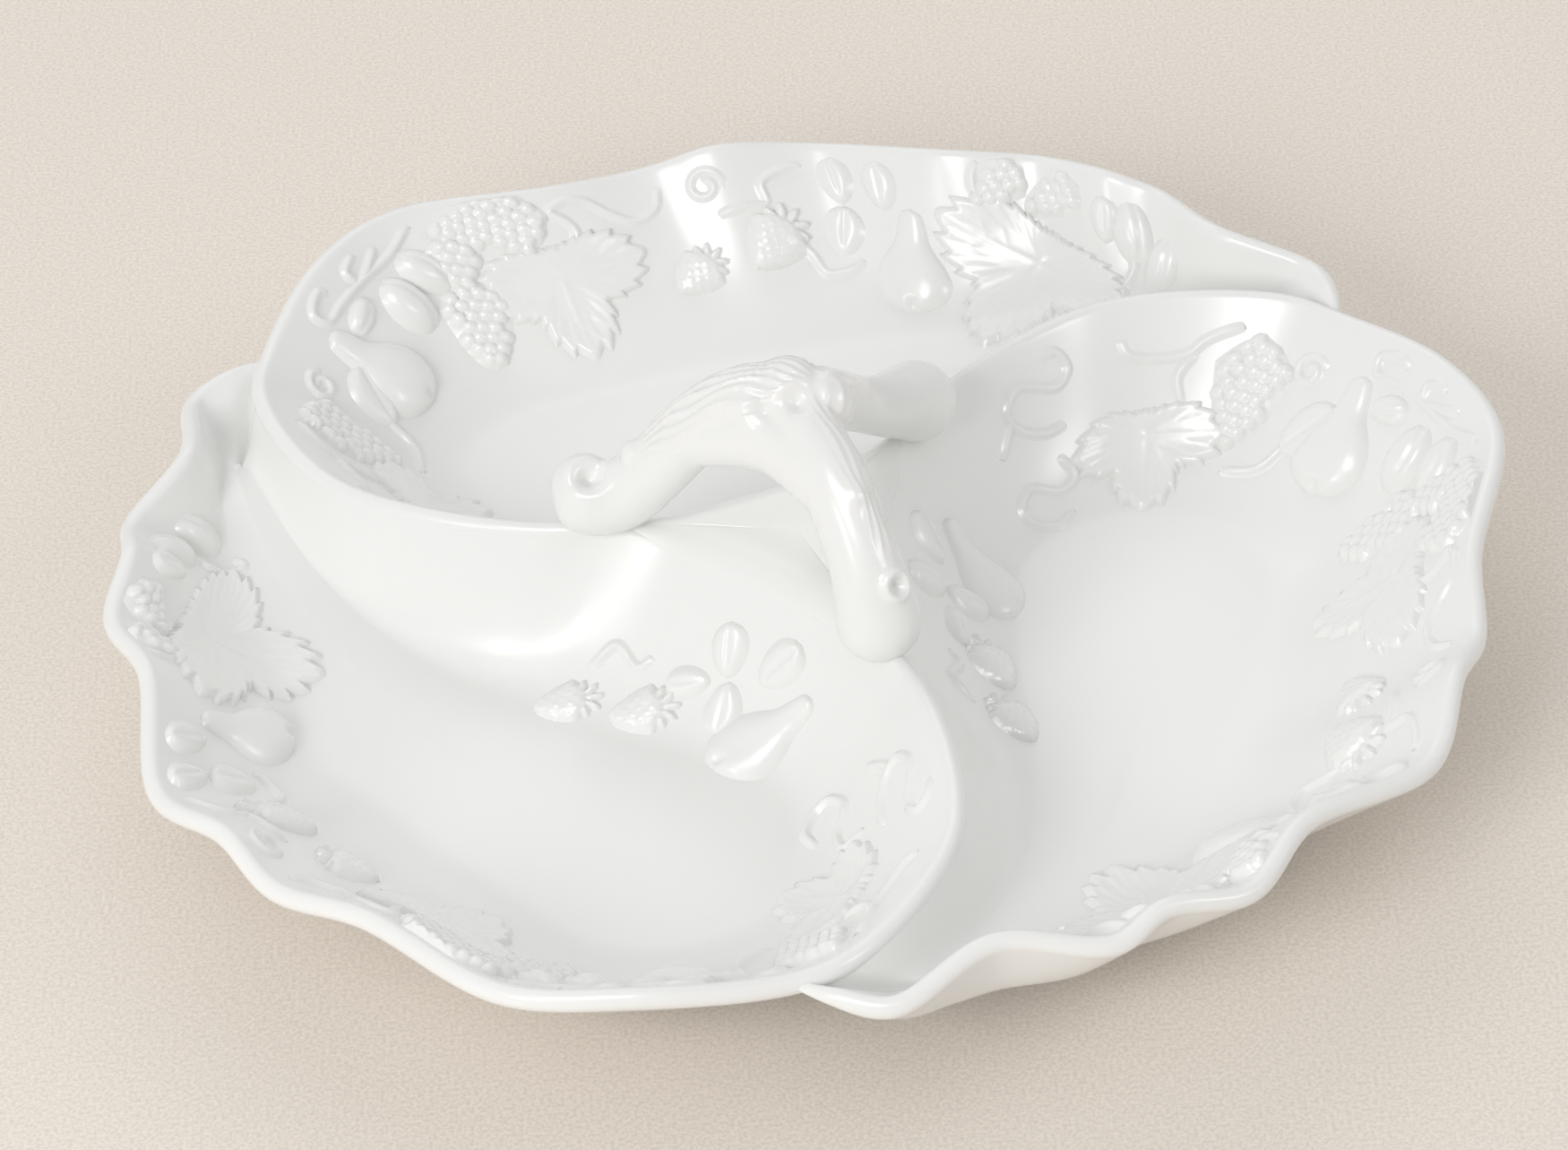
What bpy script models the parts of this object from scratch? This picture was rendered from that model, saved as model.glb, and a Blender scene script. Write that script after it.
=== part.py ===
"""Three-part serving dish of glazed porcelain: three ruffled bowls round a branch handle.

Each bowl is a shell whose ruffled rim runs from a narrow tail to a rounded head and then rolls on
as a ridge to a foot of the handle. The next bowl tucks its tail against the outside of that ridge,
so three equal bowls, turned by a third of a turn, close the ring. A small web fills the triangle
between them, and a forked branch stands on the three ridge ends.

Metres, +Z up. The table is at z = 0 and the origin is under the middle of the dish's box.
"""

import math

import bmesh
import bpy
import numpy as np

# Rim and ridge
RIM_RADIUS = 0.162
RIM_HEIGHT = 0.041
JOIN_RADIUS = 0.155
JOIN_AZIMUTH = 266.5
RIDGE_HEIGHT = RIM_HEIGHT
SEAT_RADIUS = 0.0465
SEAT_AZIMUTH = 291.5

# Ruffles of the rim from tail to head: azimuth in degrees, then the way out and the way up
RUFFLES = (
    (154.5, 0.0015, -0.0010),
    (163.5, -0.0080, 0.0030),
    (172.5, 0.0000, 0.0000),
    (177.5, -0.0020, 0.0025),
    (184.5, 0.0020, -0.0010),
    (193.0, -0.0040, 0.0010),
    (206.0, 0.0050, -0.0045),
    (215.0, 0.0010, 0.0000),
    (221.5, 0.0015, -0.0040),
    (230.5, -0.0020, -0.0005),
    (245.5, 0.0080, 0.0030),
    (255.0, 0.0035, 0.0040),
)

# Crest of the ridge from the rim to the handle's seat: azimuth in degrees and radius
RIDGE_BENDS = ((271.5, 0.149), (278.0, 0.134), (285.0, 0.114), (289.5, 0.090), (292.5, 0.064))

# Shell of a bowl
WALL = 0.005
FLOOR_TOP = 0.008
TUCK_DROP = 0.003
TAIL_TURN = 0.008
STANDING_RING_INSET = 0.003
STANDING_RING_WIDTH = 0.005
STANDING_RING_HEIGHT = 0.003
STANDING_RING_DRAFT = 0.2
NARROWEST_INNER_FLOOR = 0.4

# Middle line of a bowl's floor from head to tail: azimuth in degrees, radius, half the floor's
# width and the floor's rise
MIDDLE = (
    (243.0, 0.083, 0.031, 0.000),
    (200.0, 0.094, 0.019, 0.000),
    (180.0, 0.114, 0.011, 0.005),
    (166.0, 0.1375, 0.006, 0.015),
    (159.5, 0.147, 0.004, 0.0215),
)

# Web between the bowls
WEB_THICKNESS = 0.005
WEB_DIP = 0.0015
WEB_DIP_WIDTH = 0.5
WEB_CORNER_CUT = 0.14
WEB_EDGE_FULLNESS = 0.5

# Branch handle: centre lines as shares of the way from the crown to a seat and of the rise
CROWN_HEIGHT = 0.080
BRANCH_RADIUS = 0.0086
CROWN_RADIUS = 0.0098
HEEL_RADIUS = 0.0105
HEEL_HEIGHT = 0.0065
HEEL_START = 0.45
LEFT_LIMB = ((0.22, 0.86), (0.46, 0.56), (0.68, 0.22), (0.86, 0.06), (1.0, 0.0), (1.12, -0.02))
BACK_LIMB = ((0.28, 0.80), (0.54, 0.54), (0.80, 0.24), (1.00, 0.04), (1.14, -0.06))
FRONT_LIMB = ((0.26, 0.86), (0.52, 0.76), (0.78, 0.50), (0.93, 0.26), (1.0, 0.06), (1.04, -0.06))
KNOB_RADIUS = 0.0042

# Fit between pieces that touch
SEAM = 0.0003

# Steps round the rim, down the wall and along the handle
RIM_STEP = 0.0075
EVENING_PASSES = 10
TUCK_RUN_IN = 6.0
WEB_STEPS = 10
MIDDLE_STEPS = 24
FLOOR_ROW_INSET = 0.010
TAIL_STEPS = 6
TAIL_FULLNESS = 1.4
WALL_STEPS = 6
LIP_STEPS = 4
BRANCH_SIDES = 14
BRANCH_STEPS = 3
BRANCH_END_TILTS = (30.0, 60.0)
SHARP_EDGE = 50.0
WALL_FLARE = ((0.0, 0.0), (0.35, 0.50), (0.62, 1.0), (1.0, 1.0))

PORCELAIN = (0.84, 0.84, 0.825, 1.0)
THIRD = 120.0
UP = np.array([0.0, 0.0, 1.0])
FLAT_FLOOR = np.array([-np.inf, -np.inf, 0.0, 0.0])


def polar(azimuth, radius, height=0.0):
    """Point at an azimuth in degrees."""
    angle = math.radians(azimuth)
    return np.array([radius * math.cos(angle), radius * math.sin(angle), height])


def turned(points, degrees):
    """Points turned about the dish's axis."""
    angle = math.radians(degrees)
    cosine, sine = math.cos(angle), math.sin(angle)
    turn = np.array([[cosine, -sine, 0.0], [sine, cosine, 0.0], [0.0, 0.0, 1.0]])
    return np.asarray(points) @ turn.T


def curve_through(points, steps, closed=False):
    """Smooth curve through points, with a number of steps for each span between two of them."""
    points = np.asarray(points, float)
    if closed:
        around = np.vstack([points[-1:], points, points[:2]])
    else:
        around = np.vstack([2 * points[0] - points[1], points, 2 * points[-1] - points[-2]])
    chord = np.sqrt(np.linalg.norm(np.diff(around, axis=0), axis=1))[:, None]
    slope = np.diff(around, axis=0) / chord
    tangent = (slope[:-1] * chord[1:] + slope[1:] * chord[:-1]) / (chord[:-1] + chord[1:])
    pieces = []
    for span, count in enumerate(steps):
        t = np.linspace(0.0, 1.0, count, endpoint=False)[:, None]
        start, end = around[span + 1], around[span + 2]
        reach = chord[span + 1]
        pieces.append(
            (1 + 2 * t) * (1 - t) ** 2 * start + t * (1 - t) ** 2 * reach * tangent[span]
            + t * t * (3 - 2 * t) * end + t * t * (t - 1) * reach * tangent[span + 1]
        )
    if not closed:
        pieces.append(points[-1:])
    return np.vstack(pieces)


def beside(path, distance):
    """A path moved sideways in plan, to its right for a positive distance."""
    along = np.gradient(path[:, :2], axis=0)
    along /= np.linalg.norm(along, axis=1, keepdims=True)
    moved = path.copy()
    moved[:, 0] += distance * along[:, 1]
    moved[:, 1] -= distance * along[:, 0]
    return moved


def ridge_points():
    """Crest of a bowl's own ridge, from the join with its rim to the handle's seat."""
    bends = [polar(azimuth, radius, RIDGE_HEIGHT) for azimuth, radius in RIDGE_BENDS]
    join = polar(JOIN_AZIMUTH, JOIN_RADIUS, RIM_HEIGHT)
    return np.array([join, *bends, polar(SEAT_AZIMUTH, SEAT_RADIUS, RIDGE_HEIGHT)])


def link(start, end, steps, fullness):
    """Points between the end of one path and the start of another, leaving both in line."""
    span = fullness * np.linalg.norm(end[0] - start[-1])
    leave = span * (start[-1] - start[-2]) / np.linalg.norm(start[-1] - start[-2])
    meet = span * (end[1] - end[0]) / np.linalg.norm(end[1] - end[0])
    t = np.linspace(0.0, 1.0, steps + 1)[1:-1, None]
    return (
        (1 + 2 * t) * (1 - t) ** 2 * start[-1] + t * (1 - t) ** 2 * leave
        + t * t * (3 - 2 * t) * end[0] + t * t * (t - 1) * meet
    )


def tuck_edge(ridge):
    """Edge that a bowl tucks under its neighbour's ridge, from the handle's seat out to the tail."""
    edge = beside(turned(ridge, -THIRD), WALL + SEAM)[::-1]
    share = np.linspace(0.0, 1.0, len(edge))
    edge[:, 2] -= TUCK_DROP * np.clip(TUCK_RUN_IN * share * (1 - share), 0.0, 1.0)
    return edge[np.linalg.norm(edge - edge[-1], axis=1) > TAIL_TURN]


def crest_loop():
    """Crest of one bowl all the way round from the first ruffle, and the web's stretch of it."""
    rim = [polar(a, RIM_RADIUS + out, RIM_HEIGHT + up) for a, out, up in RUFFLES]
    ridge = ridge_points()
    points = np.array([*rim, *ridge])
    spans = np.linalg.norm(np.diff(points, axis=0), axis=1)
    steps = [max(2, round(span / RIM_STEP)) for span in spans]
    own = curve_through(points, steps)
    tuck = tuck_edge(own[sum(steps[:len(rim)]):])
    web = link(own, tuck, WEB_STEPS, WEB_EDGE_FULLNESS)
    tail = link(tuck, own, TAIL_STEPS, TAIL_FULLNESS)
    return np.vstack([own, web, tuck, tail]), slice(len(own) - 1, len(own) + len(web) + 1)


def evened(loop):
    """Closed loop of values, smoothed along itself."""
    for _ in range(EVENING_PASSES):
        loop = 0.25 * np.roll(loop, 1, axis=0) + 0.5 * loop + 0.25 * np.roll(loop, -1, axis=0)
    return loop


def floor_lines(crest):
    """Nearest point of the bowl's middle line for each point of the crest, and the way out to it."""
    points = [(*polar(azimuth, radius)[:2], half, rise) for azimuth, radius, half, rise in MIDDLE]
    line = np.maximum(curve_through(points, [MIDDLE_STEPS] * (len(points) - 1)), FLAT_FLOOR)
    apart = crest[:, None, :2] - line[None, :, :2]
    nearest = evened(line[np.argmin((apart ** 2).sum(axis=2), axis=1)])
    out = crest[:, :2] - nearest[:, :2]
    out /= np.linalg.norm(out, axis=1, keepdims=True)
    return nearest, out


def floor_row(lines, inset, height):
    """Loop inside the floor's edge by an inset, at a height over the table plus the tail's rise."""
    nearest, out = lines
    half = np.maximum(nearest[:, 2:3] - inset, NARROWEST_INNER_FLOOR * nearest[:, 2:3])
    return np.column_stack([nearest[:, :2] + half * out, height + nearest[:, 3]])


def leftward(loop):
    """Plan directions to the left of a closed loop."""
    along = np.roll(loop, -1, axis=0) - np.roll(loop, 1, axis=0)
    left = np.column_stack([-along[:, 1], along[:, 0]])
    return left / np.linalg.norm(left, axis=1, keepdims=True)


def wall_profile():
    """Bezier shares of the way in and of the way down, from the crest to the floor's edge."""
    a, b, c, d = (np.array(point) for point in WALL_FLARE)
    t = np.linspace(0.0, 1.0, WALL_STEPS + 1)[:, None]
    return a * (1 - t) ** 3 + 3 * b * t * (1 - t) ** 2 + 3 * c * t * t * (1 - t) + d * t ** 3


def bowl_rows(crest, lines):
    """Rows of points that wrap the shell: up the inside, over the lip and down the outside."""
    top = crest - (WALL / 2) * UP
    floor = floor_row(lines, 0.0, FLOOR_TOP - WALL / 2)
    share = wall_profile()
    middle = np.empty((len(share), len(crest), 3))
    middle[:, :, :2] = top[:, :2] + share[:, :1, None] * (floor - top)[None, :, :2]
    middle[:, :, 2] = top[:, 2] + share[:, 1:, None][:, :, 0] * (floor - top)[None, :, 2]
    fall = floor - top
    lean = np.arctan2(WALL_FLARE[1][0] * np.linalg.norm(fall[:, :2], axis=1), -WALL_FLARE[1][1] * fall[:, 2])
    side = leftward(top)
    way = np.linspace(0.0, 1.0, WALL_STEPS + 1)[:, None]
    tilt = lean + way * (math.pi / 2 - lean)
    across = (1 - way)[:, :, None] * side - way[:, :, None] * lines[1]
    across /= np.linalg.norm(across, axis=2, keepdims=True)
    inward = np.dstack([np.cos(tilt)[:, :, None] * across, np.sin(tilt)])
    inside = middle + (WALL / 2) * inward
    outside = middle - (WALL / 2) * inward
    rise = np.column_stack([-np.sin(lean)[:, None] * side, np.cos(lean)])
    turn = [math.pi * step / LIP_STEPS for step in range(1, LIP_STEPS)]
    lip = [top + (WALL / 2) * (math.cos(a) * inward[0] + math.sin(a) * rise) for a in turn]
    return [*inside[::-1], *lip, *outside]


def standing_rows(lines):
    """Rows of the ring that the bowl stands on, which dies out where the floor rises to the tail."""
    under = FLOOR_TOP - WALL
    depth = STANDING_RING_HEIGHT * np.clip(1.0 - lines[0][:, 3] / STANDING_RING_HEIGHT, 0.0, 1.0)
    inner = STANDING_RING_INSET + STANDING_RING_WIDTH
    return [
        floor_row(lines, STANDING_RING_INSET, under),
        floor_row(lines, STANDING_RING_INSET + STANDING_RING_DRAFT * depth[:, None], under - depth),
        floor_row(lines, inner, under - depth),
        floor_row(lines, inner, under),
    ]


def rungs(loop):
    """Triangles across a long closed loop, from its farthest point on, each over the shorter way."""
    count = len(loop)
    tip = int(np.argmax(np.linalg.norm(loop - loop.mean(axis=0), axis=1)))
    ahead, behind = tip + 1, tip - 1
    faces = [(behind % count, tip, ahead % count)]
    while ahead - behind < count - 1:
        a, b = ahead % count, behind % count
        a_next, b_next = (ahead + 1) % count, (behind - 1) % count
        if np.linalg.norm(loop[a_next] - loop[b]) < np.linalg.norm(loop[a] - loop[b_next]):
            faces.append((b, a, a_next))
            ahead += 1
        else:
            faces.append((b_next, b, a))
            behind -= 1
    return np.array(faces)


def mesh_from_rows(name, rows):
    """Closed mesh over rows of points, with both ends filled across."""
    count = len(rows[0])
    points = np.vstack(rows)
    here = np.arange(count)
    there = (here + 1) % count
    faces = rungs(rows[0]).tolist()
    for row in range(len(rows) - 1):
        low, high = row * count, (row + 1) * count
        faces += np.stack([low + here, low + there, high + there, high + here], axis=1).tolist()
    faces += (rungs(rows[-1]) + (len(rows) - 1) * count).tolist()
    mesh = bpy.data.meshes.new(name)
    mesh.from_pydata(points.tolist(), [], faces)
    shape = bmesh.new()
    shape.from_mesh(mesh)
    bmesh.ops.recalc_face_normals(shape, faces=shape.faces)
    shape.to_mesh(mesh)
    shape.free()
    mesh.shade_smooth()
    mesh.set_sharp_from_angle(angle=math.radians(SHARP_EDGE))
    return mesh


def porcelain(name, roughness):
    """White glazed porcelain."""
    material = bpy.data.materials.new(name)
    material.use_nodes = True
    shader = material.node_tree.nodes["Principled BSDF"]
    shader.inputs["Base Color"].default_value = PORCELAIN
    shader.inputs["Roughness"].default_value = roughness
    shader.inputs["Metallic"].default_value = 0.0
    return material


def add_piece(name, mesh, parent, roughness=0.12):
    """Object for one piece under a parent, with its own material."""
    piece = bpy.data.objects.new(name, mesh)
    if not mesh.materials:
        mesh.materials.append(porcelain(name + "_glaze", roughness))
    bpy.context.scene.collection.objects.link(piece)
    piece.parent = parent
    return piece


def make_bowls(dish, crest, lines):
    """Three equal bowls, a third of a turn apart."""
    for name, turn in (("front_bowl", 0.0), ("right_bowl", THIRD), ("back_bowl", 2 * THIRD)):
        inside_floor = floor_row(lines, FLOOR_ROW_INSET, FLOOR_TOP)
        wrapped = bowl_rows(crest, lines)
        mesh = mesh_from_rows(name, [inside_floor, *wrapped, *standing_rows(lines)])
        bowl = add_piece(name, mesh, dish)
        bowl.rotation_euler.z = math.radians(turn)


def make_web(dish, crest, stretch):
    """Plate that fills the triangle between the three bowls, dipped a little in the middle."""
    edge = beside(crest[stretch], WALL / 2 + SEAM)
    cut = max(1, round(WEB_CORNER_CUT * len(edge)))
    edge = edge[cut:-cut]
    outline = np.vstack([turned(edge, -turn) for turn in (0.0, THIRD, 2 * THIRD)])
    outline[:, 2] = RIDGE_HEIGHT
    middle = outline.mean(axis=0)
    dipped = middle + WEB_DIP_WIDTH * (outline - middle) - WEB_DIP * UP
    below = WEB_THICKNESS * UP
    mesh = mesh_from_rows("centre_web", [dipped, outline, outline - below, dipped - below])
    add_piece("centre_web", mesh, dish)


def limb_path(limb, seat):
    """Centre line of one limb from the crown to its heel."""
    low = RIDGE_HEIGHT + HEEL_HEIGHT
    points = [polar(0.0, 0.0, CROWN_HEIGHT)]
    for share, rise in limb:
        points.append(np.append(share * seat[:2], low + rise * (CROWN_HEIGHT - low)))
    return np.array(points)


def tube_rows(path, radii):
    """Rings round a path, square to it, closed by rounded ends."""
    along = np.gradient(path, axis=0)
    along /= np.linalg.norm(along, axis=1, keepdims=True)
    side = np.cross(along, UP)
    side /= np.linalg.norm(side, axis=1, keepdims=True)
    over = np.cross(side, along)
    angle = np.linspace(0.0, 2 * math.pi, BRANCH_SIDES, endpoint=False)
    ring = np.cos(angle)[None, :, None] * side[:, None] + np.sin(angle)[None, :, None] * over[:, None]
    rows = list(path[:, None] + radii[:, None, None] * ring)
    tilt = [math.radians(step) for step in BRANCH_END_TILTS]
    for end, sense in ((0, -1.0), (-1, 1.0)):
        caps = []
        for a in tilt:
            centre = path[end] + sense * radii[end] * math.sin(a) * along[end]
            caps.append(centre + radii[end] * math.cos(a) * ring[end])
        rows = [*caps[::-1], *rows] if end == 0 else [*rows, *caps]
    return rows


def limb_radii(count):
    """Radius along a limb: even along the branch, swelling to the heel."""
    share = np.linspace(0.0, 1.0, count)
    swell = np.clip((share - HEEL_START) / (1.0 - HEEL_START), 0.0, 1.0)
    return BRANCH_RADIUS + (HEEL_RADIUS - BRANCH_RADIUS) * swell * swell * (3 - 2 * swell)


def add_tool(name, mesh, parent):
    """Shape that only joins or cuts another."""
    tool = add_piece(name, mesh, parent)
    tool.hide_render = True
    tool.display_type = "WIRE"
    return tool


def combine(piece, tool, operation):
    """Boolean of a piece with another shape."""
    modifier = piece.modifiers.new(tool.name, "BOOLEAN")
    modifier.operation = operation
    modifier.object = tool
    modifier.solver = "EXACT"


def ball_mesh(name, radius):
    """Faceted ball."""
    mesh = bpy.data.meshes.new(name)
    ball = bmesh.new()
    bmesh.ops.create_icosphere(ball, subdivisions=2, radius=radius)
    ball.to_mesh(mesh)
    ball.free()
    mesh.shade_smooth()
    return mesh


def slab_mesh(name, width, height):
    """Square block centred on the axis, from the table up."""
    mesh = bpy.data.meshes.new(name)
    block = bmesh.new()
    bmesh.ops.create_cube(block, size=1.0)
    bmesh.ops.scale(block, vec=(width, width, height), verts=block.verts)
    bmesh.ops.translate(block, vec=(0.0, 0.0, height / 2), verts=block.verts)
    block.to_mesh(mesh)
    block.free()
    return mesh


def limb_mesh(name, points):
    """Tube along one limb."""
    path = curve_through(points, [BRANCH_STEPS] * (len(points) - 1))
    return mesh_from_rows(name, tube_rows(path, limb_radii(len(path))))


def make_handle(dish):
    """Forked branch on three heels, cut flat where it sits on the ridge ends."""
    seat = polar(SEAT_AZIMUTH, SEAT_RADIUS)
    left = limb_path(LEFT_LIMB, turned(seat, 2 * THIRD))
    back = limb_path(BACK_LIMB, turned(seat, THIRD))
    front = limb_path(FRONT_LIMB, seat)
    handle = add_piece("branch_handle", limb_mesh("branch_handle", left), dish)
    combine(handle, add_tool("back_limb", limb_mesh("back_limb", back), dish), "UNION")
    combine(handle, add_tool("front_limb", limb_mesh("front_limb", front), dish), "UNION")
    bosses = (
        ("crown", polar(0.0, 0.0, CROWN_HEIGHT), CROWN_RADIUS),
        ("left_knob", left[4] + HEEL_RADIUS * UP, KNOB_RADIUS),
        ("front_knob", front[4] + HEEL_RADIUS * UP, KNOB_RADIUS),
    )
    for name, place, radius in bosses:
        boss = add_tool(name, ball_mesh(name, radius), dish)
        boss.location = place
        combine(handle, boss, "UNION")
    plane = slab_mesh("seat_plane", 4 * SEAT_RADIUS, RIDGE_HEIGHT + SEAM)
    combine(handle, add_tool("seat_plane", plane, dish), "DIFFERENCE")


def centre_on_box(dish, crest, lines):
    """Move the dish so that the origin is under the middle of its box."""
    rows = np.vstack(bowl_rows(crest, lines))
    points = np.vstack([turned(rows, turn) for turn in (0.0, THIRD, 2 * THIRD)])
    middle = 0.5 * (points.min(axis=0) + points.max(axis=0))
    dish.location = (-middle[0], -middle[1], 0.0)


def main():
    """Build the whole dish."""
    for old in list(bpy.data.objects):
        bpy.data.objects.remove(old, do_unlink=True)
    dish = bpy.data.objects.new("dish_axis", None)
    bpy.context.scene.collection.objects.link(dish)
    crest, stretch = crest_loop()
    lines = floor_lines(crest)
    make_bowls(dish, crest, lines)
    make_web(dish, crest, stretch)
    make_handle(dish)
    centre_on_box(dish, crest, lines)


main()
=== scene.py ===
"""Looks of a three-part serving dish: glazed porcelain bowls with moulded fruit under a branch handle.

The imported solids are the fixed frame. Each bowl, the web and the handle get a finer skin that stands
for its solid: the bowls with moulded relief, the handle with bark, knots and softened joints.
"""

import math

import bpy
import numpy as np
from mathutils import Matrix, Vector


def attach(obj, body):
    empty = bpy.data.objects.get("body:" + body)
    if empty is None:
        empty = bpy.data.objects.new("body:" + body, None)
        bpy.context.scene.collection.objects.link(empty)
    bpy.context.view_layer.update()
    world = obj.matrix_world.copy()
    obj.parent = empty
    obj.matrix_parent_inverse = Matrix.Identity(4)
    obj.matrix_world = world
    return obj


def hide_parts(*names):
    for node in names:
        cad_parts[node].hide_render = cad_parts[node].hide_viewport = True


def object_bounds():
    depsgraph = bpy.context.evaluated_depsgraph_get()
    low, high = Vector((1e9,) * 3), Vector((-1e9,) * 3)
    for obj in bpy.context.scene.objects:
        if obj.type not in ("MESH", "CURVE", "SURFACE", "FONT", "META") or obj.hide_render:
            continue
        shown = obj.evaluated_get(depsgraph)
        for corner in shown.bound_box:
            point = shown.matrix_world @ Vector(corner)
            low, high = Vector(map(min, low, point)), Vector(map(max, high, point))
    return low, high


bl_info = {
    "name": "Serving dish looks",
    "version": (1, 0, 0),
    "blender": (4, 5, 0),
    "location": "View3D > Sidebar > Dish",
    "description": "Glazed skins, studio floor, lamps and camera for a three-part serving dish",
    "category": "Object",
}

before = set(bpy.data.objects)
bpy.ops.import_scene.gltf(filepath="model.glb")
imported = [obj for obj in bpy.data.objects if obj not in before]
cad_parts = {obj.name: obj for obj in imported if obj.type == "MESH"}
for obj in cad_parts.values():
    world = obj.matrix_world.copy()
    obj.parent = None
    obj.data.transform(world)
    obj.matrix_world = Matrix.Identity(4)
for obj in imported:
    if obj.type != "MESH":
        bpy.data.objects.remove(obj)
CAD_BOX = [[float(value) for value in corner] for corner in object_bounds()]

# Bowls: node, material slot, turn about the dish's axis in degrees
THIRD = 120.0
BOWLS = (
    ("front_bowl", "front_glaze", 0.0),
    ("right_bowl", "right_glaze", THIRD),
    ("back_bowl", "back_glaze", 2 * THIRD),
)
UP = np.array([0.0, 0.0, 1.0])

# Rim from the join with the neighbour to the own join: azimuth, radius and height
RIM = (
    (146.5, 0.1550, 0.0410),
    (149.8, 0.1592, 0.0410),
    (154.5, 0.1635, 0.0400),
    (163.5, 0.1540, 0.0440),
    (172.5, 0.1620, 0.0410),
    (177.5, 0.1600, 0.0435),
    (184.5, 0.1640, 0.0400),
    (193.0, 0.1580, 0.0420),
    (206.0, 0.1670, 0.0365),
    (215.0, 0.1630, 0.0410),
    (221.5, 0.1635, 0.0370),
    (230.5, 0.1600, 0.0405),
    (245.5, 0.1700, 0.0440),
    (255.0, 0.1655, 0.0450),
    (266.5, 0.1550, 0.0410),
)
# Ridge from the join to the handle's seat: azimuth and radius
RIDGE = ((271.5, 0.149), (278.0, 0.134), (285.0, 0.114), (289.5, 0.090), (292.5, 0.064), (291.5, 0.0465))
RIDGE_HEIGHT, WEB_EDGE_FULLNESS = 0.041, 0.5
# Middle line of the floor from head to tail: azimuth, radius, half width, rise
MIDDLE = (
    (243.0, 0.083, 0.031, 0.000),
    (200.0, 0.094, 0.019, 0.000),
    (180.0, 0.114, 0.011, 0.005),
    (166.0, 0.1375, 0.006, 0.015),
    (159.5, 0.147, 0.004, 0.0215),
)
# Control points of a wall's section: shares of the way to the floor's edge in plan and in height
WALL_FLARE = ((0.0, 0.0), (0.35, 0.50), (0.62, 1.0), (1.0, 1.0))
FLOOR_TOP, FLOOR_SOFTENING = 0.008, 0.016
# Tail's corner: width of its softening, and the reach, thinning and drop of its tip
CORNER_SOFTENING, CORNER_REACH = 0.006, 0.014
TIP_REACH, TIP_TAPER, TIP_DROP = 0.009, 0.72, 0.0012
# Lip drawn down under the neighbour's ridge: drop, lengths over which it sets in and fades out
TUCK_DROP, TUCK_IN, TUCK_OUT = 0.0004, 0.004, 0.010
RING_INSET, RING_WIDTH, RING_HEIGHT, RING_LEAST = 0.003, 0.005, 0.003, 0.4
# Standing ring from outside to inside: inset, share of its height
RING_PROFILE = (
    (0.0, 0.0), (0.0008, 0.9), (0.0018, 1.0), (RING_WIDTH - 0.0012, 1.0), (RING_WIDTH, 0.85),
    (RING_WIDTH + 0.0015, 0.0),
)
# Pooled glaze and painted shade in the crease where the wall meets the floor: strength, spread in rows
FLOOR_POOL_AND_SHADE, FLOOR_POOL_AND_SHADE_ROWS = 0.5, 9.0
# Points round a bowl, steps of a curve between two places, rows of a skin, first row round the floor's spine
STATIONS, DENSE = 640, 40
WALL_ROWS, FLOOR_ROWS, LIP_ROWS, OUTSIDE_ROWS, SPINE_SHARE = 64, 20, 12, 24, 0.06
# The standing ring is unglazed up to this height
BARE_HEIGHT = 0.0006
# The skins are drawn in a little in plan, so that they stay inside the solids' box
PLAN_FIT = np.array([0.998, 0.998, 1.0])

# Handle: centre lines as shares of the way from the crown to a seat and of the rise
SEAT = RIDGE[-1]
CROWN_HEIGHT, HEEL_HEIGHT = 0.080, 0.0065
LEFT_LIMB = ((0.22, 0.95), (0.46, 0.72), (0.68, 0.36), (0.86, 0.10), (0.98, 0.03), (1.06, 0.03))
BACK_LIMB = ((0.28, 0.74), (0.54, 0.44), (0.76, 0.21), (0.97, 0.04), (1.07, -0.04))
FRONT_LIMB = ((0.26, 0.86), (0.52, 0.76), (0.78, 0.50), (0.92, 0.27), (0.98, 0.08), (1.01, -0.03))
HEEL_START = 0.45
# Shares of the branch's and the heel's radius in the left, back and front limb
GIRTHS = ((1.0, 0.87), (0.86, 0.97), (1.0, 0.96))
# Crotch between the left and the front limb: share along both, radius
CROTCH_SHARE, CROTCH_RADIUS = 0.36, 0.0080
LIMB_STEPS, LIMB_SIDES, CAP_ROWS, BALL_ROWS = 20, 40, 7, 13
HANDLE_VOXEL, HANDLE_SMOOTHING, HEEL_SINK = 0.0005, 20, 0.0012
# Balls that swell the branch: place, radius
KNOBS = (
    ((-0.0370, 0.0048, 0.0624), 0.0037),
    ((-0.0500, 0.0090, 0.0505), 0.0082),
    ((0.0072, -0.0010, 0.0780), 0.0086),
)
# Bark on the left, back and front limb: strength, twist, strands, first and last length, facing and spread
BARK = (
    (1.0, 520.0, 21.0, -0.008, 0.037, -8.0, 70.0),
    (0.9, -430.0, 21.0, -0.008, 0.014, 0.0, 66.0),
    (0.42, 60.0, 24.0, 0.002, 0.048, 46.0, 44.0),
)
# Sway of the strands: strength, waves along and round the limb, shift
BARK_SWAY = ((2.4, 150.0, 1.5, 0.0), (1.3, 310.0, -5.0, 1.0))
# The fourth value is the strength of the painted shade and pooled glaze in the bark's grooves
BARK_SHARPNESS, BARK_LEVEL, BARK_FADE, BARK_POOL_AND_SHADE, PATH_SKIP = 1.6, 0.45, 0.006, 0.7, 4
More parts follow.
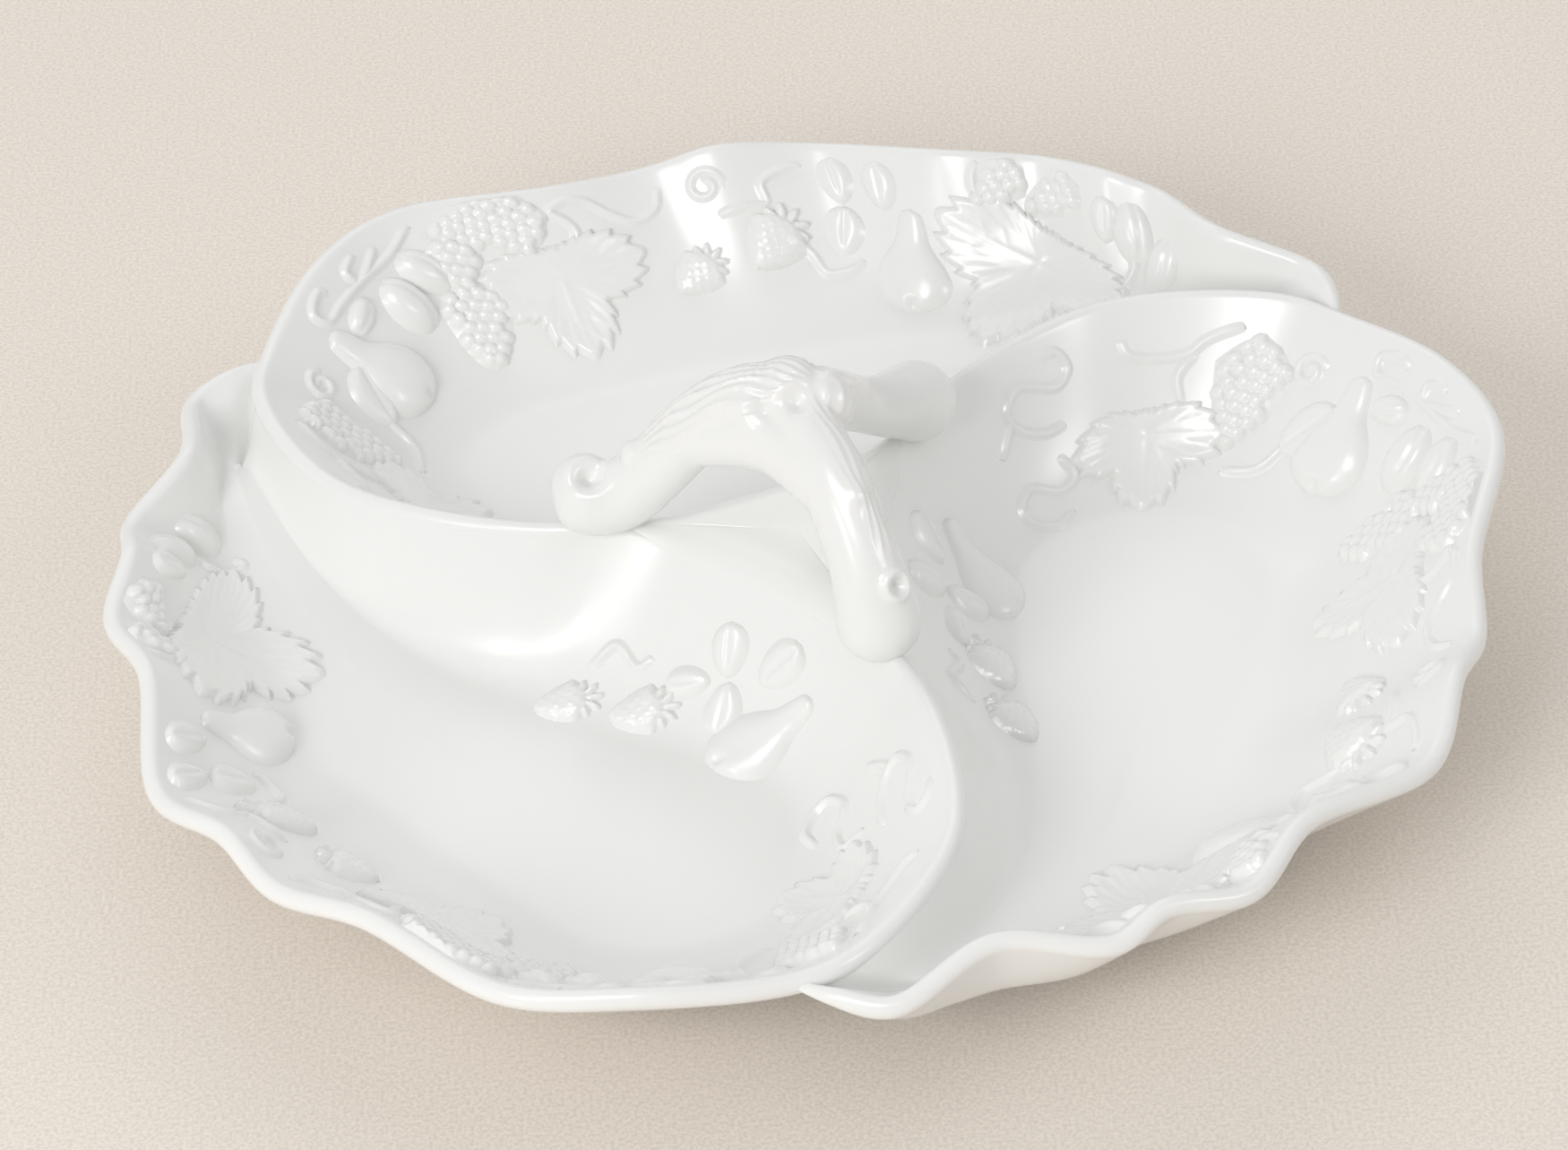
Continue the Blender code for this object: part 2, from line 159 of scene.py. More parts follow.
# Bumps and hollows of the branch: place, radius, height
BUMPS = (
    ((-0.0098, -0.0068, 0.0814), 0.0036, 0.0022),
    ((0.0137, 0.0050, 0.0782), 0.0046, 0.0012),
    ((0.0150, -0.0330, 0.0765), 0.0030, 0.0016),
    ((0.0020, -0.0090, 0.0850), 0.0030, -0.0022),
    ((0.0250, 0.0212, 0.0665), 0.0056, -0.0030),
    ((0.0337, 0.0296, 0.0551), 0.0060, 0.0010),
)
# Ringed knots: place, radius of the ring, height of the ring, depth of the hollow
KNOTS = (
    ((-0.0482, 0.0046, 0.0566), 0.0050, 0.0008, 0.0030),
    ((0.0218, -0.0463, 0.0586), 0.0030, 0.0014, 0.0014),
)
KNOT_RING, KNOT_HOLLOW = 0.42, 0.62

# Web plate with its shoulder, and the bowls' crest that is drawn down under it
WEB_OVERHANG, WEB_DIP, WEB_ROWS, WEB_FIRST_ROW = 0.0026, 0.0008, 30, 0.04
SHOULDER_RADIUS, SHOULDER_TURN, SHOULDER_ROWS, SHOULDER_LEAST = 0.009, math.radians(59.0), 12, 0.06
WEB_TUCK_IN, WEB_TUCK_DOWN = 0.0012, 0.0030
CREST_TUCK, CREST_RAMPS = 0.0025, (0.017, 0.020)

# Relief: grid step, dip under the wall round a form's foot, depth of its back, reach of the pooled glaze and
# painted shade round a form's foot
RELIEF_STEP, RELIEF_FOOT, RELIEF_BACK, RELIEF_POOL_AND_SHADE = 0.0005, 0.0006, 0.0012, 0.0007
THIN = 1e-4
# Lengths are in metres; halves, rises and places without a unit are shares of a form's length
PLUM_HALF, PLUM_RISE, CREASE_BEND, CREASE_DEPTH, CREASE_WIDTH = 0.33, 0.20, 0.42, 0.0009, 0.0010
PEAR_RISE, NAVEL_PLACE, NAVEL_RADIUS, NAVEL_DEPTH = 0.28, 0.44, 0.05, 0.0012
PEAR_WIDTHS = ((0.0, 0.0), (0.04, 0.09), (0.14, 0.125), (0.32, 0.165), (0.52, 0.285), (0.70, 0.335),
               (0.86, 0.275), (0.96, 0.15), (1.0, 0.0))
BERRY_LONG, BERRY_HALF, BERRY_RISE, SEED_PITCH, SEED_RISE = 0.74, 0.43, 0.17, 0.0034, 0.00032
CALYX_LEAVES = (-104.0, -140.0, 180.0, 140.0, 104.0)
CALYX_PLACE, CALYX_LONG, CALYX_HALF, CALYX_RISE, CALYX_EDGE = 0.24, 0.36, 0.075, 0.0017, 0.0011
LEAF_LOBES = (0.0, -84.0, 96.0)
LEAF_NOTCH, LEAF_TEETH, LEAF_RISE, LEAF_EDGE, LEAF_SAG = 0.38, 0.11, 0.0018, 0.0017, 0.35
TOOTH, TOOTH_LEAN, TOOTH_REACH, TOOTH_CLEAR = 0.0042, 0.78, 0.8, 0.10
VEIN_PITCH, VEIN_WIDTH, VEIN_RISE = 0.0060, 0.0009, 0.00014
VEIN_SLANT, VEIN_SPREAD, VEIN_FADE = 0.8, 0.45, 0.003
PETAL_HALF, PETAL_RISE, PETAL_EDGE = 0.40, 0.0019, 0.0034
GROOVE_DEPTH, GROOVE_WIDTH, GROOVE_FADE = 0.0004, 0.0007, 0.002
BEAD_PITCH, BEAD_RADIUS, BEAD_RISE, BEAD_STRAY, ROW_PITCH = 0.0036, 0.0021, 0.0014, 0.12, 0.87
BUNCH_HALF, MOUND_RISE, MOUND_EDGE = 0.37, 0.0012, 0.004
LINE_STEPS, LINE_SIDES, LINE_TAPER, LINE_SUNK = 40, 10, 0.004, 0.00012
STEM_SPREAD, STEM_RISE, STEM_BELL = 2.3, 1.35, 2.1
# Form, thousandths of the way round the crest from the tail, depth under the lip in millimetres, turn of
# its axis in degrees from the way round towards the floor, length in millimetres
RELIEF = (
    ("plum", 119, 12, 98, 16.5), ("plum", 103, 16.5, 70, 15.5), ("petal", 132, 11, 88, 12),
    ("grapes", 157, 9, 28, 16), ("grapes", 180, 7.5, 36, 15.5), ("hook", 181, 5, 0, 12.5),
    ("leaf", 165, 28, 52, 29), ("pear", 219, 30, 80, 30), ("petal", 226.5, 9.5, 90, 13.5),
    ("petal", 245, 9, 95, 13), ("petal", 247, 23.5, 74, 14.5), ("berry", 278, 26.5, 45, 20.5),
    ("curl", 298, 8.5, 160, 10), ("berry", 313, 30.5, 34, 16.5), ("leaf", 365.5, 23, 90, 24.5),
    ("grapes", 387, 6.8, -2, 27), ("grapes", 407, 18, 76, 17), ("grapes", 409, 35, 80, 24),
    ("plum", 421, 16.2, 126, 17), ("plum", 438, 22, 108, 19), ("plum", 463, 15.5, 20, 12),
    ("pear", 477, 27, 104, 33), ("petal", 493, 28.5, 60, 18), ("curl", 508, 14.5, 200, 9),
    ("grapes", 533, 25.5, 88, 27), ("leaf", 580, 34.5, 88, 21), ("pear", 722, 31.2, 62, 29),
    ("petal", 751, 16.5, 106, 13.5), ("petal", 729, 14.5, 62, 14.5), ("petal", 746, 30, -78, 13.5),
    ("petal", 763, 27.5, -158, 11.5), ("berry", 773, 38.5, 30, 17), ("berry", 798, 44, 36, 16),
    ("wave", 789, 27.5, 17, 16),
)
# Vines: places in thousandths of the way round and millimetres under the lip
VINE_RADIUS, VINE_STEPS = 0.0010, 9
VINES = (
    ((113, 7), (127, 9.5), (119, 20), (125, 29), (122, 33.5), (116, 29.5)),
    ((272, 25), (264, 30), (259, 36), (246, 34), (241, 31)),
    ((297, 17), (286, 16), (277, 15.5), (277, 10), (269, 6.5), (258, 4.5)),
    ((316, 4.5), (320, 10), (330, 12), (339, 8.5), (347, 4), (356, 3), (361, 5), (356, 8.5), (354, 12),
     (358, 16), (364, 18)),
    ((415, 3), (431, 8.5), (450, 9.5), (466, 9.5), (478, 9), (481, 5), (476, 3), (470, 3), (467, 5)),
    ((434, 4.5), (444, 8), (450, 9.5)),
    ((445, 3), (454, 5), (452, 9.5)),
    ((534, 46), (511, 42.5), (500, 32), (484, 21.5)),
    ((559, 14), (566, 20), (562, 28)),
    ((591, 8.5), (588, 12.5), (578, 14.5), (562, 14), (556, 11), (541, 7)),
    ((627, 5), (620, 5.5), (616, 10.5), (622, 13.5), (633, 11), (642, 9), (650, 12.5), (647, 18),
     (634, 22.5), (622, 23)),
    ((648, 14.5), (655, 18), (662, 22)),
    ((631, 29), (625, 36), (637, 37), (655, 32), (666, 35), (664, 39.5), (650, 44), (634, 43)),
)

# Noises of the looks: scale, detail, then the range taken from the noise and the range given
CLOUD = (26.0, 3.0, 0.35, 0.7, 0.0, 0.35)
GLOSS_WANDER = (38.0, 2.0, 0.3, 0.7, -0.01, 0.02)
BISCUIT_GRAIN = (900.0, 2.0, 0.3, 0.7, 0.0, 0.25)
FLOOR_GRAIN = (1100.0, 3.0, 0.38, 0.66, 0.0, 1.0)
SWELL, GRIT, GRIT_SHARE = (62.0, 1.0), (1500.0, 1.0), 0.25
RIPPLE_STRENGTH, RIPPLE_DEPTH, GLAZE_IOR, BISCUIT_DULLNESS = 0.50, 0.002, 1.5, 0.7
SPECK_SCALE, SPECK_RADIUS, SPECKS_KEPT, SPECK_DEPTH = 75.0, 0.00028, 0.09, 0.55
IRON, DARK_BISCUIT = (0.30, 0.26, 0.21, 1.0), (0.45, 0.40, 0.34, 1.0)

# Lamps: name, place, width and height, setting of their power, share of it. Windows show only in the glaze
LAMPS = (
    ("key_lamp", (-0.80, -1.15, 0.85), (0.7, 0.7), "key", 1.0),
    ("back_lamp", (-0.25, 1.40, 1.10), (1.5, 1.1), "back", 1.0),
    ("side_lamp", (1.30, 0.10, 0.80), (0.9, 0.7), "back", 0.35),
    ("high_window", (-0.40, -0.82, 1.68), (0.66, 0.66), "window", 1.0),
    ("left_window", (-1.05, -1.05, 1.12), (0.22, 0.36), "window", 0.2),
    ("right_window", (1.25, -0.55, 1.15), (0.30, 0.40), "window", 0.22),
    ("back_window", (-0.10, 1.45, 1.30), (0.90, 0.30), "window", 0.07),
)
WORLD_TINT = (1.0, 0.998, 0.996, 1.0)
FLOOR_REACH, FLOOR_ROUGHNESS, FLECK_SHADE = 4.0, 0.9, 0.84
LOOK_AT, SENSOR_WIDTH = (-0.0039, 0.0434, -0.009), 36.0


class DishBowlSettings(bpy.types.PropertyGroup):
    """Sizes of the bowls' skins."""

    wall: bpy.props.FloatProperty(
        name="Wall", description="Thickness of the bowls' walls", default=0.005, unit="LENGTH"
    )
    relief: bpy.props.FloatProperty(
        name="Relief", description="Scale of the moulded relief's height", default=1.0
    )


class DishHandleSettings(bpy.types.PropertyGroup):
    """Sizes of the handle's skin."""

    branch: bpy.props.FloatProperty(
        name="Branch", description="Radius of the branch", default=0.0082, unit="LENGTH"
    )
    heel: bpy.props.FloatProperty(
        name="Heel", description="Radius of the heels", default=0.0105, unit="LENGTH"
    )
    crown: bpy.props.FloatProperty(
        name="Crown", description="Radius of the crown", default=0.0093, unit="LENGTH"
    )
    bark: bpy.props.FloatProperty(
        name="Bark", description="Height of the bark's strands", default=0.0008, unit="LENGTH"
    )


class DishGlazeSettings(bpy.types.PropertyGroup):
    """Colours of the glaze."""

    body: bpy.props.FloatVectorProperty(
        name="Body", description="White of the glazed porcelain", subtype="COLOR", size=4,
        default=(0.79, 0.79, 0.815, 1.0), min=0.0, max=1.0,
    )
    # Tone of thick glaze, also used as painted shade in creases, hollows and the bark's grooves
    pooled: bpy.props.FloatVectorProperty(
        name="Pooled glaze", description="Tone where the glaze lies thick", subtype="COLOR", size=4,
        default=(0.62, 0.62, 0.605, 1.0), min=0.0, max=1.0,
    )
    biscuit: bpy.props.FloatVectorProperty(
        name="Biscuit", description="Unglazed porcelain of the standing rings", subtype="COLOR", size=4,
        default=(0.62, 0.59, 0.54, 1.0), min=0.0, max=1.0,
    )
    gloss: bpy.props.FloatProperty(
        name="Gloss", description="Roughness of the clear glaze", default=0.03
    )
    # Strength of the painted shade and pooled glaze in hollows and creases
    pooling: bpy.props.FloatProperty(
        name="Pooling", description="How much tone the glaze takes in hollows", default=0.6, subtype="FACTOR"
    )


class DishStageSettings(bpy.types.PropertyGroup):
    """Floor, lamps and camera."""

    floor: bpy.props.FloatVectorProperty(
        name="Floor", description="Colour of the floor", subtype="COLOR", size=4,
        default=(0.85, 0.782, 0.705, 1.0), min=0.0, max=1.0,
    )
    key: bpy.props.FloatProperty(
        name="Key", description="Power of the key lamp", default=11.9, unit="POWER"
    )
    back: bpy.props.FloatProperty(
        name="Back", description="Power of the back lamp, which the side lamp follows",
        default=7.0, unit="POWER",
    )
    window: bpy.props.FloatProperty(
        name="Window", description="Power of the windows that show in the glaze", default=16.0, unit="POWER"
    )
    ambient: bpy.props.FloatProperty(
        name="Ambient", description="Strength of the even light", default=0.585
    )
    lens: bpy.props.FloatProperty(
        name="Lens", description="Focal length in millimetres", default=118.2
    )
    elevation: bpy.props.FloatProperty(
        name="Elevation", description="Camera's height over the horizon",
        default=math.radians(39.16), subtype="ANGLE",
    )
    roll: bpy.props.FloatProperty(
        name="Roll", description="Turn of the camera about its view",
        default=math.radians(-4.1), subtype="ANGLE",
    )
    distance: bpy.props.FloatProperty(
        name="Distance", description="From the camera to what it looks at", default=1.2931, unit="LENGTH"
    )


def mesh_values(mesh, kind):
    """One vector for each point of a mesh: its place or its normal."""
    flat = np.empty(3 * len(mesh.vertices))
    mesh.vertices.foreach_get(kind, flat)
    return flat.reshape(-1, 3)


def dish_axis():
    """Plan place of the dish's axis: the mean of the three equal bowls' mean points."""
    means = [mesh_values(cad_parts[node].data, "co").mean(axis=0) for node, _, _ in BOWLS]
    return np.array([*np.mean(means, axis=0)[:2], 0.0])


def polar(azimuth, radius, height):
    """(r cos a, r sin a, z) for azimuths in degrees."""
    angle = np.radians(azimuth)
    return np.stack(np.broadcast_arrays(radius * np.cos(angle), radius * np.sin(angle), height), axis=-1)


def cos_sin(degrees):
    """Cosine and sine of an angle in degrees."""
    return math.cos(math.radians(degrees)), math.sin(math.radians(degrees))


def turned(points, degrees):
    """Points turned about the vertical axis."""
    cosine, sine = cos_sin(degrees)
    turn = np.array([[cosine, -sine, 0.0], [sine, cosine, 0.0], [0.0, 0.0, 1.0]])
    return points @ turn.T


def unit(vectors):
    """Vectors over their lengths."""
    return vectors / np.maximum(np.linalg.norm(vectors, axis=-1, keepdims=True), 1e-12)


def held(values):
    """Values held between 0 and 1."""
    return np.clip(values, 0.0, 1.0)


def bell(values):
    """Bell curve: e to the power of minus the square."""
    return np.exp(-values ** 2)


def cubic_span(start, end, leave, meet, t):
    """Cubic from start to end with the given end slopes."""
    return (
        (1 + 2 * t) * (1 - t) ** 2 * start + t * (1 - t) ** 2 * leave
        + t * t * (3 - 2 * t) * end + t * t * (t - 1) * meet
    )


def smooth_curve(points, steps=DENSE):
    """Cubic through points, with slopes from chords weighted by the roots of their lengths."""
    points = np.asarray(points, float)
    around = np.vstack([2 * points[0] - points[1], points, 2 * points[-1] - points[-2]])
    chord = np.sqrt(np.linalg.norm(np.diff(around, axis=0), axis=1))[:, None]
    slope = np.diff(around, axis=0) / chord
    tangent = (slope[:-1] * chord[1:] + slope[1:] * chord[:-1]) / (chord[:-1] + chord[1:])
    t = np.linspace(0.0, 1.0, steps, endpoint=False)[None, :, None]
    reach = chord[1:-1, None]
    spans = cubic_span(
        points[:-1, None], points[1:, None], reach * tangent[:-1, None], reach * tangent[1:, None], t
    )
    return np.vstack([spans.reshape(-1, points.shape[1]), points[-1:]])


def lengths_along(path):
    """Running length along a path, from 0."""
    return np.concatenate([[0.0], np.cumsum(np.linalg.norm(np.diff(path, axis=0), axis=1))])


def evenly(path, count):
    """Closed path resampled at equal lengths, from its first point."""
    ring = np.vstack([path, path[:1]])
    run = lengths_along(ring)
    at = np.linspace(0.0, run[-1], count, endpoint=False)
    return np.stack([np.interp(at, run, ring[:, axis]) for axis in range(path.shape[1])], axis=1)


def softened(loop, width, spacing):
    """Closed loop of values under a bell of the given width: each harmonic k falls by exp(-(k w)^2 / 2)."""
    harmonic = np.fft.rfftfreq(len(loop), d=spacing) * 2 * math.pi
    damped = np.fft.rfft(loop, axis=0) * np.exp(-0.5 * (harmonic * width) ** 2)[:, None]
    return np.fft.irfft(damped, n=len(loop), axis=0)


def crest_line():
    """Crest of one bowl in three parts: rim with ridge, web edge, and the neighbour's ridge.

    The rim and the ridge are one cubic; the web edge is a cubic from the seat to the neighbour's
    seat; the neighbour's ridge, turned back by a third, closes the loop at its join.
    """
    azimuth, radius, height = np.array(RIM).T
    bend_azimuth, bend_radius = np.array(RIDGE).T
    points = np.vstack([polar(azimuth, radius, height), polar(bend_azimuth, bend_radius, RIDGE_HEIGHT)])
    own = smooth_curve(points)
    other = turned(own[(len(RIM) - 1) * DENSE:], -THIRD)[::-1]
    span = WEB_EDGE_FULLNESS * np.linalg.norm(other[0] - own[-1])
    t = np.linspace(0.0, 1.0, DENSE + 1)[1:-1, None]
    web = cubic_span(own[-1], other[0], span * unit(own[-1] - own[-2]), span * unit(other[1] - other[0]), t)
    return own, web, other


def bowl_loop():
    """Even stations round one bowl's crest, their spacing, and their distance from the tail's corner.

    The crest is drawn down a little under the neighbour's ridge, and further under the web by a
    smooth step, 3 u^2 - 2 u^3.
    """
    own, web, other = crest_line()
    loop = np.vstack([own, web, other[:-1]])
    run = lengths_along(np.vstack([loop, loop[:1]]))
    stations = evenly(loop, STATIONS)
    spacing = run[-1] / STATIONS
    at = np.arange(STATIONS) * spacing
    seat, web_end = run[len(own) - 1], run[len(own) + len(web)]
    stations[:, 2] -= TUCK_DROP * np.maximum(held((at - web_end) / TUCK_IN), held(1.0 - at / TUCK_OUT))
    under_web = held(np.minimum((at - seat) / CREST_RAMPS[0], (web_end - at) / CREST_RAMPS[1]))
    stations[:, 2] -= CREST_TUCK * under_web ** 2 * (3 - 2 * under_web)
    return stations, spacing, np.minimum(at, run[-1] - at)


def floor_lines(loop, spacing):
    """For each station the nearest point of the floor's middle line, softened along the loop.

    Also the way out from it, and its place along the middle line from head to tail.
    """
    azimuth, radius, half, rise = np.array(MIDDLE).T
    points = np.column_stack([polar(azimuth, radius, 0.0)[:, :2], half, rise])
    line = smooth_curve(points)
    line[:, 2:] = np.maximum(line[:, 2:], 0.0)
    apart = ((loop[:, None, :2] - line[None, :, :2]) ** 2).sum(axis=2)
    place = np.argmin(apart, axis=1)
    nearest = softened(line[place], FLOOR_SOFTENING, spacing)
    nearest[:, 3] = np.maximum(nearest[:, 3], 0.0)
    return nearest, unit(loop[:, :2] - nearest[:, :2]), place / (len(line) - 1)


def floor_row(lines, share, height):
    """Loop at a share of the floor's half width."""
    nearest, out, _ = lines
    return np.column_stack([nearest[:, :2] + share * nearest[:, 2:3] * out, height + nearest[:, 3]])


def pulled_cubic(points, t):
    """Cubic from the first point to the last, pulled towards the two between them."""
    a, b, c, d = (np.array(point) for point in points)
    return a * (1 - t) ** 3 + 3 * b * t * (1 - t) ** 2 + 3 * c * t * t * (1 - t) + d * t ** 3


def leftward(loop):
    """Plan directions to the left of a closed loop."""
    along = np.roll(loop, -1, axis=0) - np.roll(loop, 1, axis=0)
    return unit(np.column_stack([-along[:, 1], along[:, 0]]))


def wall_surface(loop, lines, rows, wall, half):
    """Middle surface of a wall from crest to floor edge, with its way in and its way up at the crest.

    Each row is the crest moved towards the floor's edge by the flare's two shares. The way in tilts
    evenly from square to the flare at the crest to straight up at the floor's edge.
    """
    way = np.linspace(0.0, 1.0, rows + 1)[:, None]
    share = pulled_cubic(WALL_FLARE, way)
    top = loop - half * UP
    drop = floor_row(lines, 1.0, FLOOR_TOP - wall / 2) - top
    plan = top[:, :2] + share[:, :1, None] * drop[:, :2]
    middle = np.dstack([plan, top[:, 2] + share[:, 1:] * drop[:, 2]])
    flare = WALL_FLARE[1]
    lean = np.arctan2(flare[0] * np.linalg.norm(drop[:, :2], axis=1), -flare[1] * drop[:, 2])
    side = leftward(top)
    tilt = lean + way * (math.pi / 2 - lean)
    across = unit((1 - way)[:, :, None] * side - way[:, :, None] * lines[1])
    inward = np.dstack([np.cos(tilt)[:, :, None] * across, np.sin(tilt)])
    rise = np.column_stack([-np.sin(lean)[:, None] * side, np.cos(lean)])
    return middle, inward, rise


def grid_normals(grid):
    """Normals of a grid whose columns close round: the cross of its two differences."""
    down = np.gradient(grid, axis=0)
    ahead = np.roll(grid, -1, axis=1) - np.roll(grid, 1, axis=1)
    return unit(np.cross(down, ahead))


def bowl_rows(wall):
    """Rows of one bowl's skin in the dish's own frame: hollow, lip, outside and standing ring.

    Hollow: the floor's rows from its spine out, then the wall up to the lip. The lip is half an
    ellipse from the inside's edge to the outside's. Also each station's place along the floor.
    """
    loop, spacing, from_corner = bowl_loop()
    near = bell(from_corner / CORNER_REACH)[:, None]
    rounded = loop + near * (softened(loop, CORNER_SOFTENING, spacing) - loop)
    lines = floor_lines(loop, spacing)
    tip = bell(from_corner / TIP_REACH)[:, None]
    loop, rounded = loop - TIP_DROP * tip * UP, rounded - TIP_DROP * tip * UP
    half = (wall / 2) * (1 - TIP_TAPER * tip)
    middle, inward, rise = wall_surface(rounded, lines, WALL_ROWS, wall, half)
    inside = (middle + half * inward)[::-1]
    shares = np.linspace(SPINE_SHARE, 1.0, FLOOR_ROWS, endpoint=False)
    floor = np.stack([floor_row(lines, share, FLOOR_TOP) for share in shares])
    hollow = np.vstack([floor, inside])
    outer, out_normal, _ = wall_surface(loop, lines, OUTSIDE_ROWS, wall, half)
    outside = outer - half * out_normal
    centre = 0.5 * (inside[-1] + outside[0])
    across = 0.5 * (inside[-1] - outside[0])
    angle = np.linspace(0.0, math.pi, LIP_ROWS + 1)[1:-1, None, None]
    lip = centre + np.cos(angle) * across + np.sin(angle) * half * rise
    depth = RING_HEIGHT * held(1.0 - lines[0][:, 3] / RING_HEIGHT)
    half_width = np.maximum(lines[0][:, 2], 1e-6)
    ring = []
    for inset, down in RING_PROFILE:
        share = np.maximum(1.0 - (RING_INSET + inset) / half_width, RING_LEAST)[:, None]
        ring.append(floor_row(lines, share, FLOOR_TOP - wall - down * depth))
    return *(part * PLAN_FIT for part in (hollow, lip, outside, np.stack(ring))), lines[2]


def ladder(place):
    """Triangles across a long loop that starts at its tail.

    Stations are taken from the tail to the head in the order of their place along the middle line,
    and each one joins the last ones that were passed on both sides.
    """
    count = len(place)
    head = int(np.mean(np.nonzero(place <= place.min())[0]))
    left, right = np.arange(head + 1), np.arange(count - 1, head, -1)
    creep = 1e-6 / count
    key = [np.maximum.accumulate(-place[side]) + creep * np.arange(len(side)) for side in (left, right)]
    order = np.argsort(np.concatenate(key), kind="stable")
    station = np.concatenate([left, right])[order]
    is_left = np.concatenate([np.ones(len(left), bool), np.zeros(len(right), bool)])[order]
    step = np.arange(count)
    last_left = np.maximum.accumulate(np.where(is_left, step, -1))
    last_right = np.maximum.accumulate(np.where(is_left, -1, step))
    first = max(int(np.argmax(is_left)), int(np.argmax(~is_left))) + 1
    passed = slice(first - 1, -1)
    return np.stack([station[last_left[passed]], station[first:], station[last_right[passed]]], axis=1)


def quads_between(rows, count):
    """Quads between rows of points that close round, from each point to the next one in its row."""
    here = np.arange(count)
    there = np.roll(here, -1)
    base = np.arange(rows - 1)[:, None] * count
    quads = np.stack([base + here, base + there, base + count + there, base + count + here], axis=-1)
    return quads.reshape(-1, 4)


def capped_faces(rows, cap):
    """Quads between rows that run from the inside out, and the cap's faces across each end."""
    steps, count = rows.shape[:2]
    quads = quads_between(steps, count)[:, [0, 3, 2, 1]]
    return quads.tolist() + cap.tolist() + ((steps - 1) * count + cap[:, ::-1]).tolist()


def row_faces(rows):
    """Quads between rows of a round shape, and one face across each end."""
    steps, count = rows.shape[:2]
    ring = np.arange(count)
    ends = [ring[::-1].tolist(), ((steps - 1) * count + ring).tolist()]
    return quads_between(steps, count).tolist() + ends


def new_mesh(name, points, faces):
    """Smooth-shaded mesh."""
    mesh = bpy.data.meshes.new(name)
    mesh.from_pydata(points.tolist(), [], faces)
    mesh.shade_smooth()
    mesh.update()
    return mesh


def add_piece(context, mesh, node, slot, **values):
    """Glazed piece that stands for a node and rides on the body, with values at its points."""
    for name, numbers in values.items():
        layer = mesh.attributes.new(name, "FLOAT", "POINT")
        layer.data.foreach_set("value", np.ascontiguousarray(numbers, np.float32).ravel())
    mesh.materials.append(glaze_material(slot, context.scene.dish_glaze))
    piece = bpy.data.objects.new(mesh.name, mesh)
    context.scene.collection.objects.link(piece)
    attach(piece, "root")
    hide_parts(node)


def add_to_bowls(context, kind, points, faces, **values):
    """The same piece for each bowl, turned about the dish's axis."""
    for node, slot, turn in BOWLS:
        mesh = new_mesh(node + kind, turned(points.reshape(-1, 3), turn) + dish_axis(), faces)
        add_piece(context, mesh, node, slot, **values)


def sampled(grid, row, column):
    """Values of a grid between its points, with columns that close round."""
    row = np.clip(row, 0.0, len(grid) - 1.001)
    above, left = np.floor(row).astype(int), np.floor(column).astype(int)
    down, over = (row - above)[..., None], (column - left)[..., None]
    left, right = left % grid.shape[1], (left + 1) % grid.shape[1]
    upper = (1 - over) * grid[above, left] + over * grid[above, right]
    lower = (1 - over) * grid[above + 1, left] + over * grid[above + 1, right]
    return (1 - down) * upper + down * lower


def on_wall(wall, spot, x, y):
    """Points and normals of the wall at places x along the crest and y down from a spot.

    Down is measured along the spot's own line from the lip, and along by the distance from that line
    to the next one at the same height.
    """
    points, normals = wall
    share, depth, turn = spot
    cosine, sine = cos_sin(turn)
    along, down = x * cosine - y * sine, x * sine + y * cosine
    column = round(share * STATIONS) % STATIONS
    line = points[:, column]
    gap = np.linalg.norm(points[:, (column + 1) % STATIONS] - line, axis=1)
    rows = np.arange(len(line))
    row = np.interp(depth + down, lengths_along(line), rows)
    at = column + along / np.interp(row, rows, gap)
    return sampled(points, row, at), unit(sampled(normals, row, at))


def step_up(inside, width):
    """Quarter sine that reaches 1 at the given width inside an edge, with its slope carried on outside."""
    share = inside / width
    return np.where(share > 0, np.sin(0.5 * math.pi * held(share)), 0.5 * math.pi * share)


def past(a, size):
    """How far a place along a form lies beyond its two ends."""
    return np.maximum(np.abs(a) - 0.5 * size, 0.0)


def plum(a, b, size):
    """Egg-shaped dome, 1 - r^3 high, with a curved crease along it."""
    half = PLUM_HALF * size
    r = np.sqrt((2 * a / size) ** 2 + (b / half) ** 2)
    bend = CREASE_BEND * half * (1 - (2 * a / size) ** 2)
    crease = CREASE_DEPTH * held(1.15 - r) ** 0.5 * bell((b - bend) / CREASE_WIDTH)
    return PLUM_RISE * size * (1 - r ** 3) - crease


def pear(a, b, size):
    """Dome 1 - r^3 high across a pear's outline, with a navel at the broad end."""
    outline = smooth_curve(PEAR_WIDTHS)
    half = np.maximum(np.interp(a / size + 0.5, *outline.T, left=0.0, right=0.0), THIN)
    r = np.abs(b) / (half * size)
    navel = np.exp(-((a - NAVEL_PLACE * size) ** 2 + b * b) / (NAVEL_RADIUS * size) ** 2)
    return PEAR_RISE * size * half ** 0.75 * (1 - r ** 3) - NAVEL_DEPTH * navel


def lobe(a, b, angle, length, half):
    """Distance inside one small pointed leaf from its root, with half width 2.05 u^0.55 (1 - u)^0.5."""
    cosine, sine = cos_sin(angle)
    along, across = a * cosine + b * sine, b * cosine - a * sine
    u = held(along / length)
    return 2.05 * half * u ** 0.55 * np.sqrt(1 - u) - np.abs(across) - np.maximum(along - length, 0.0)


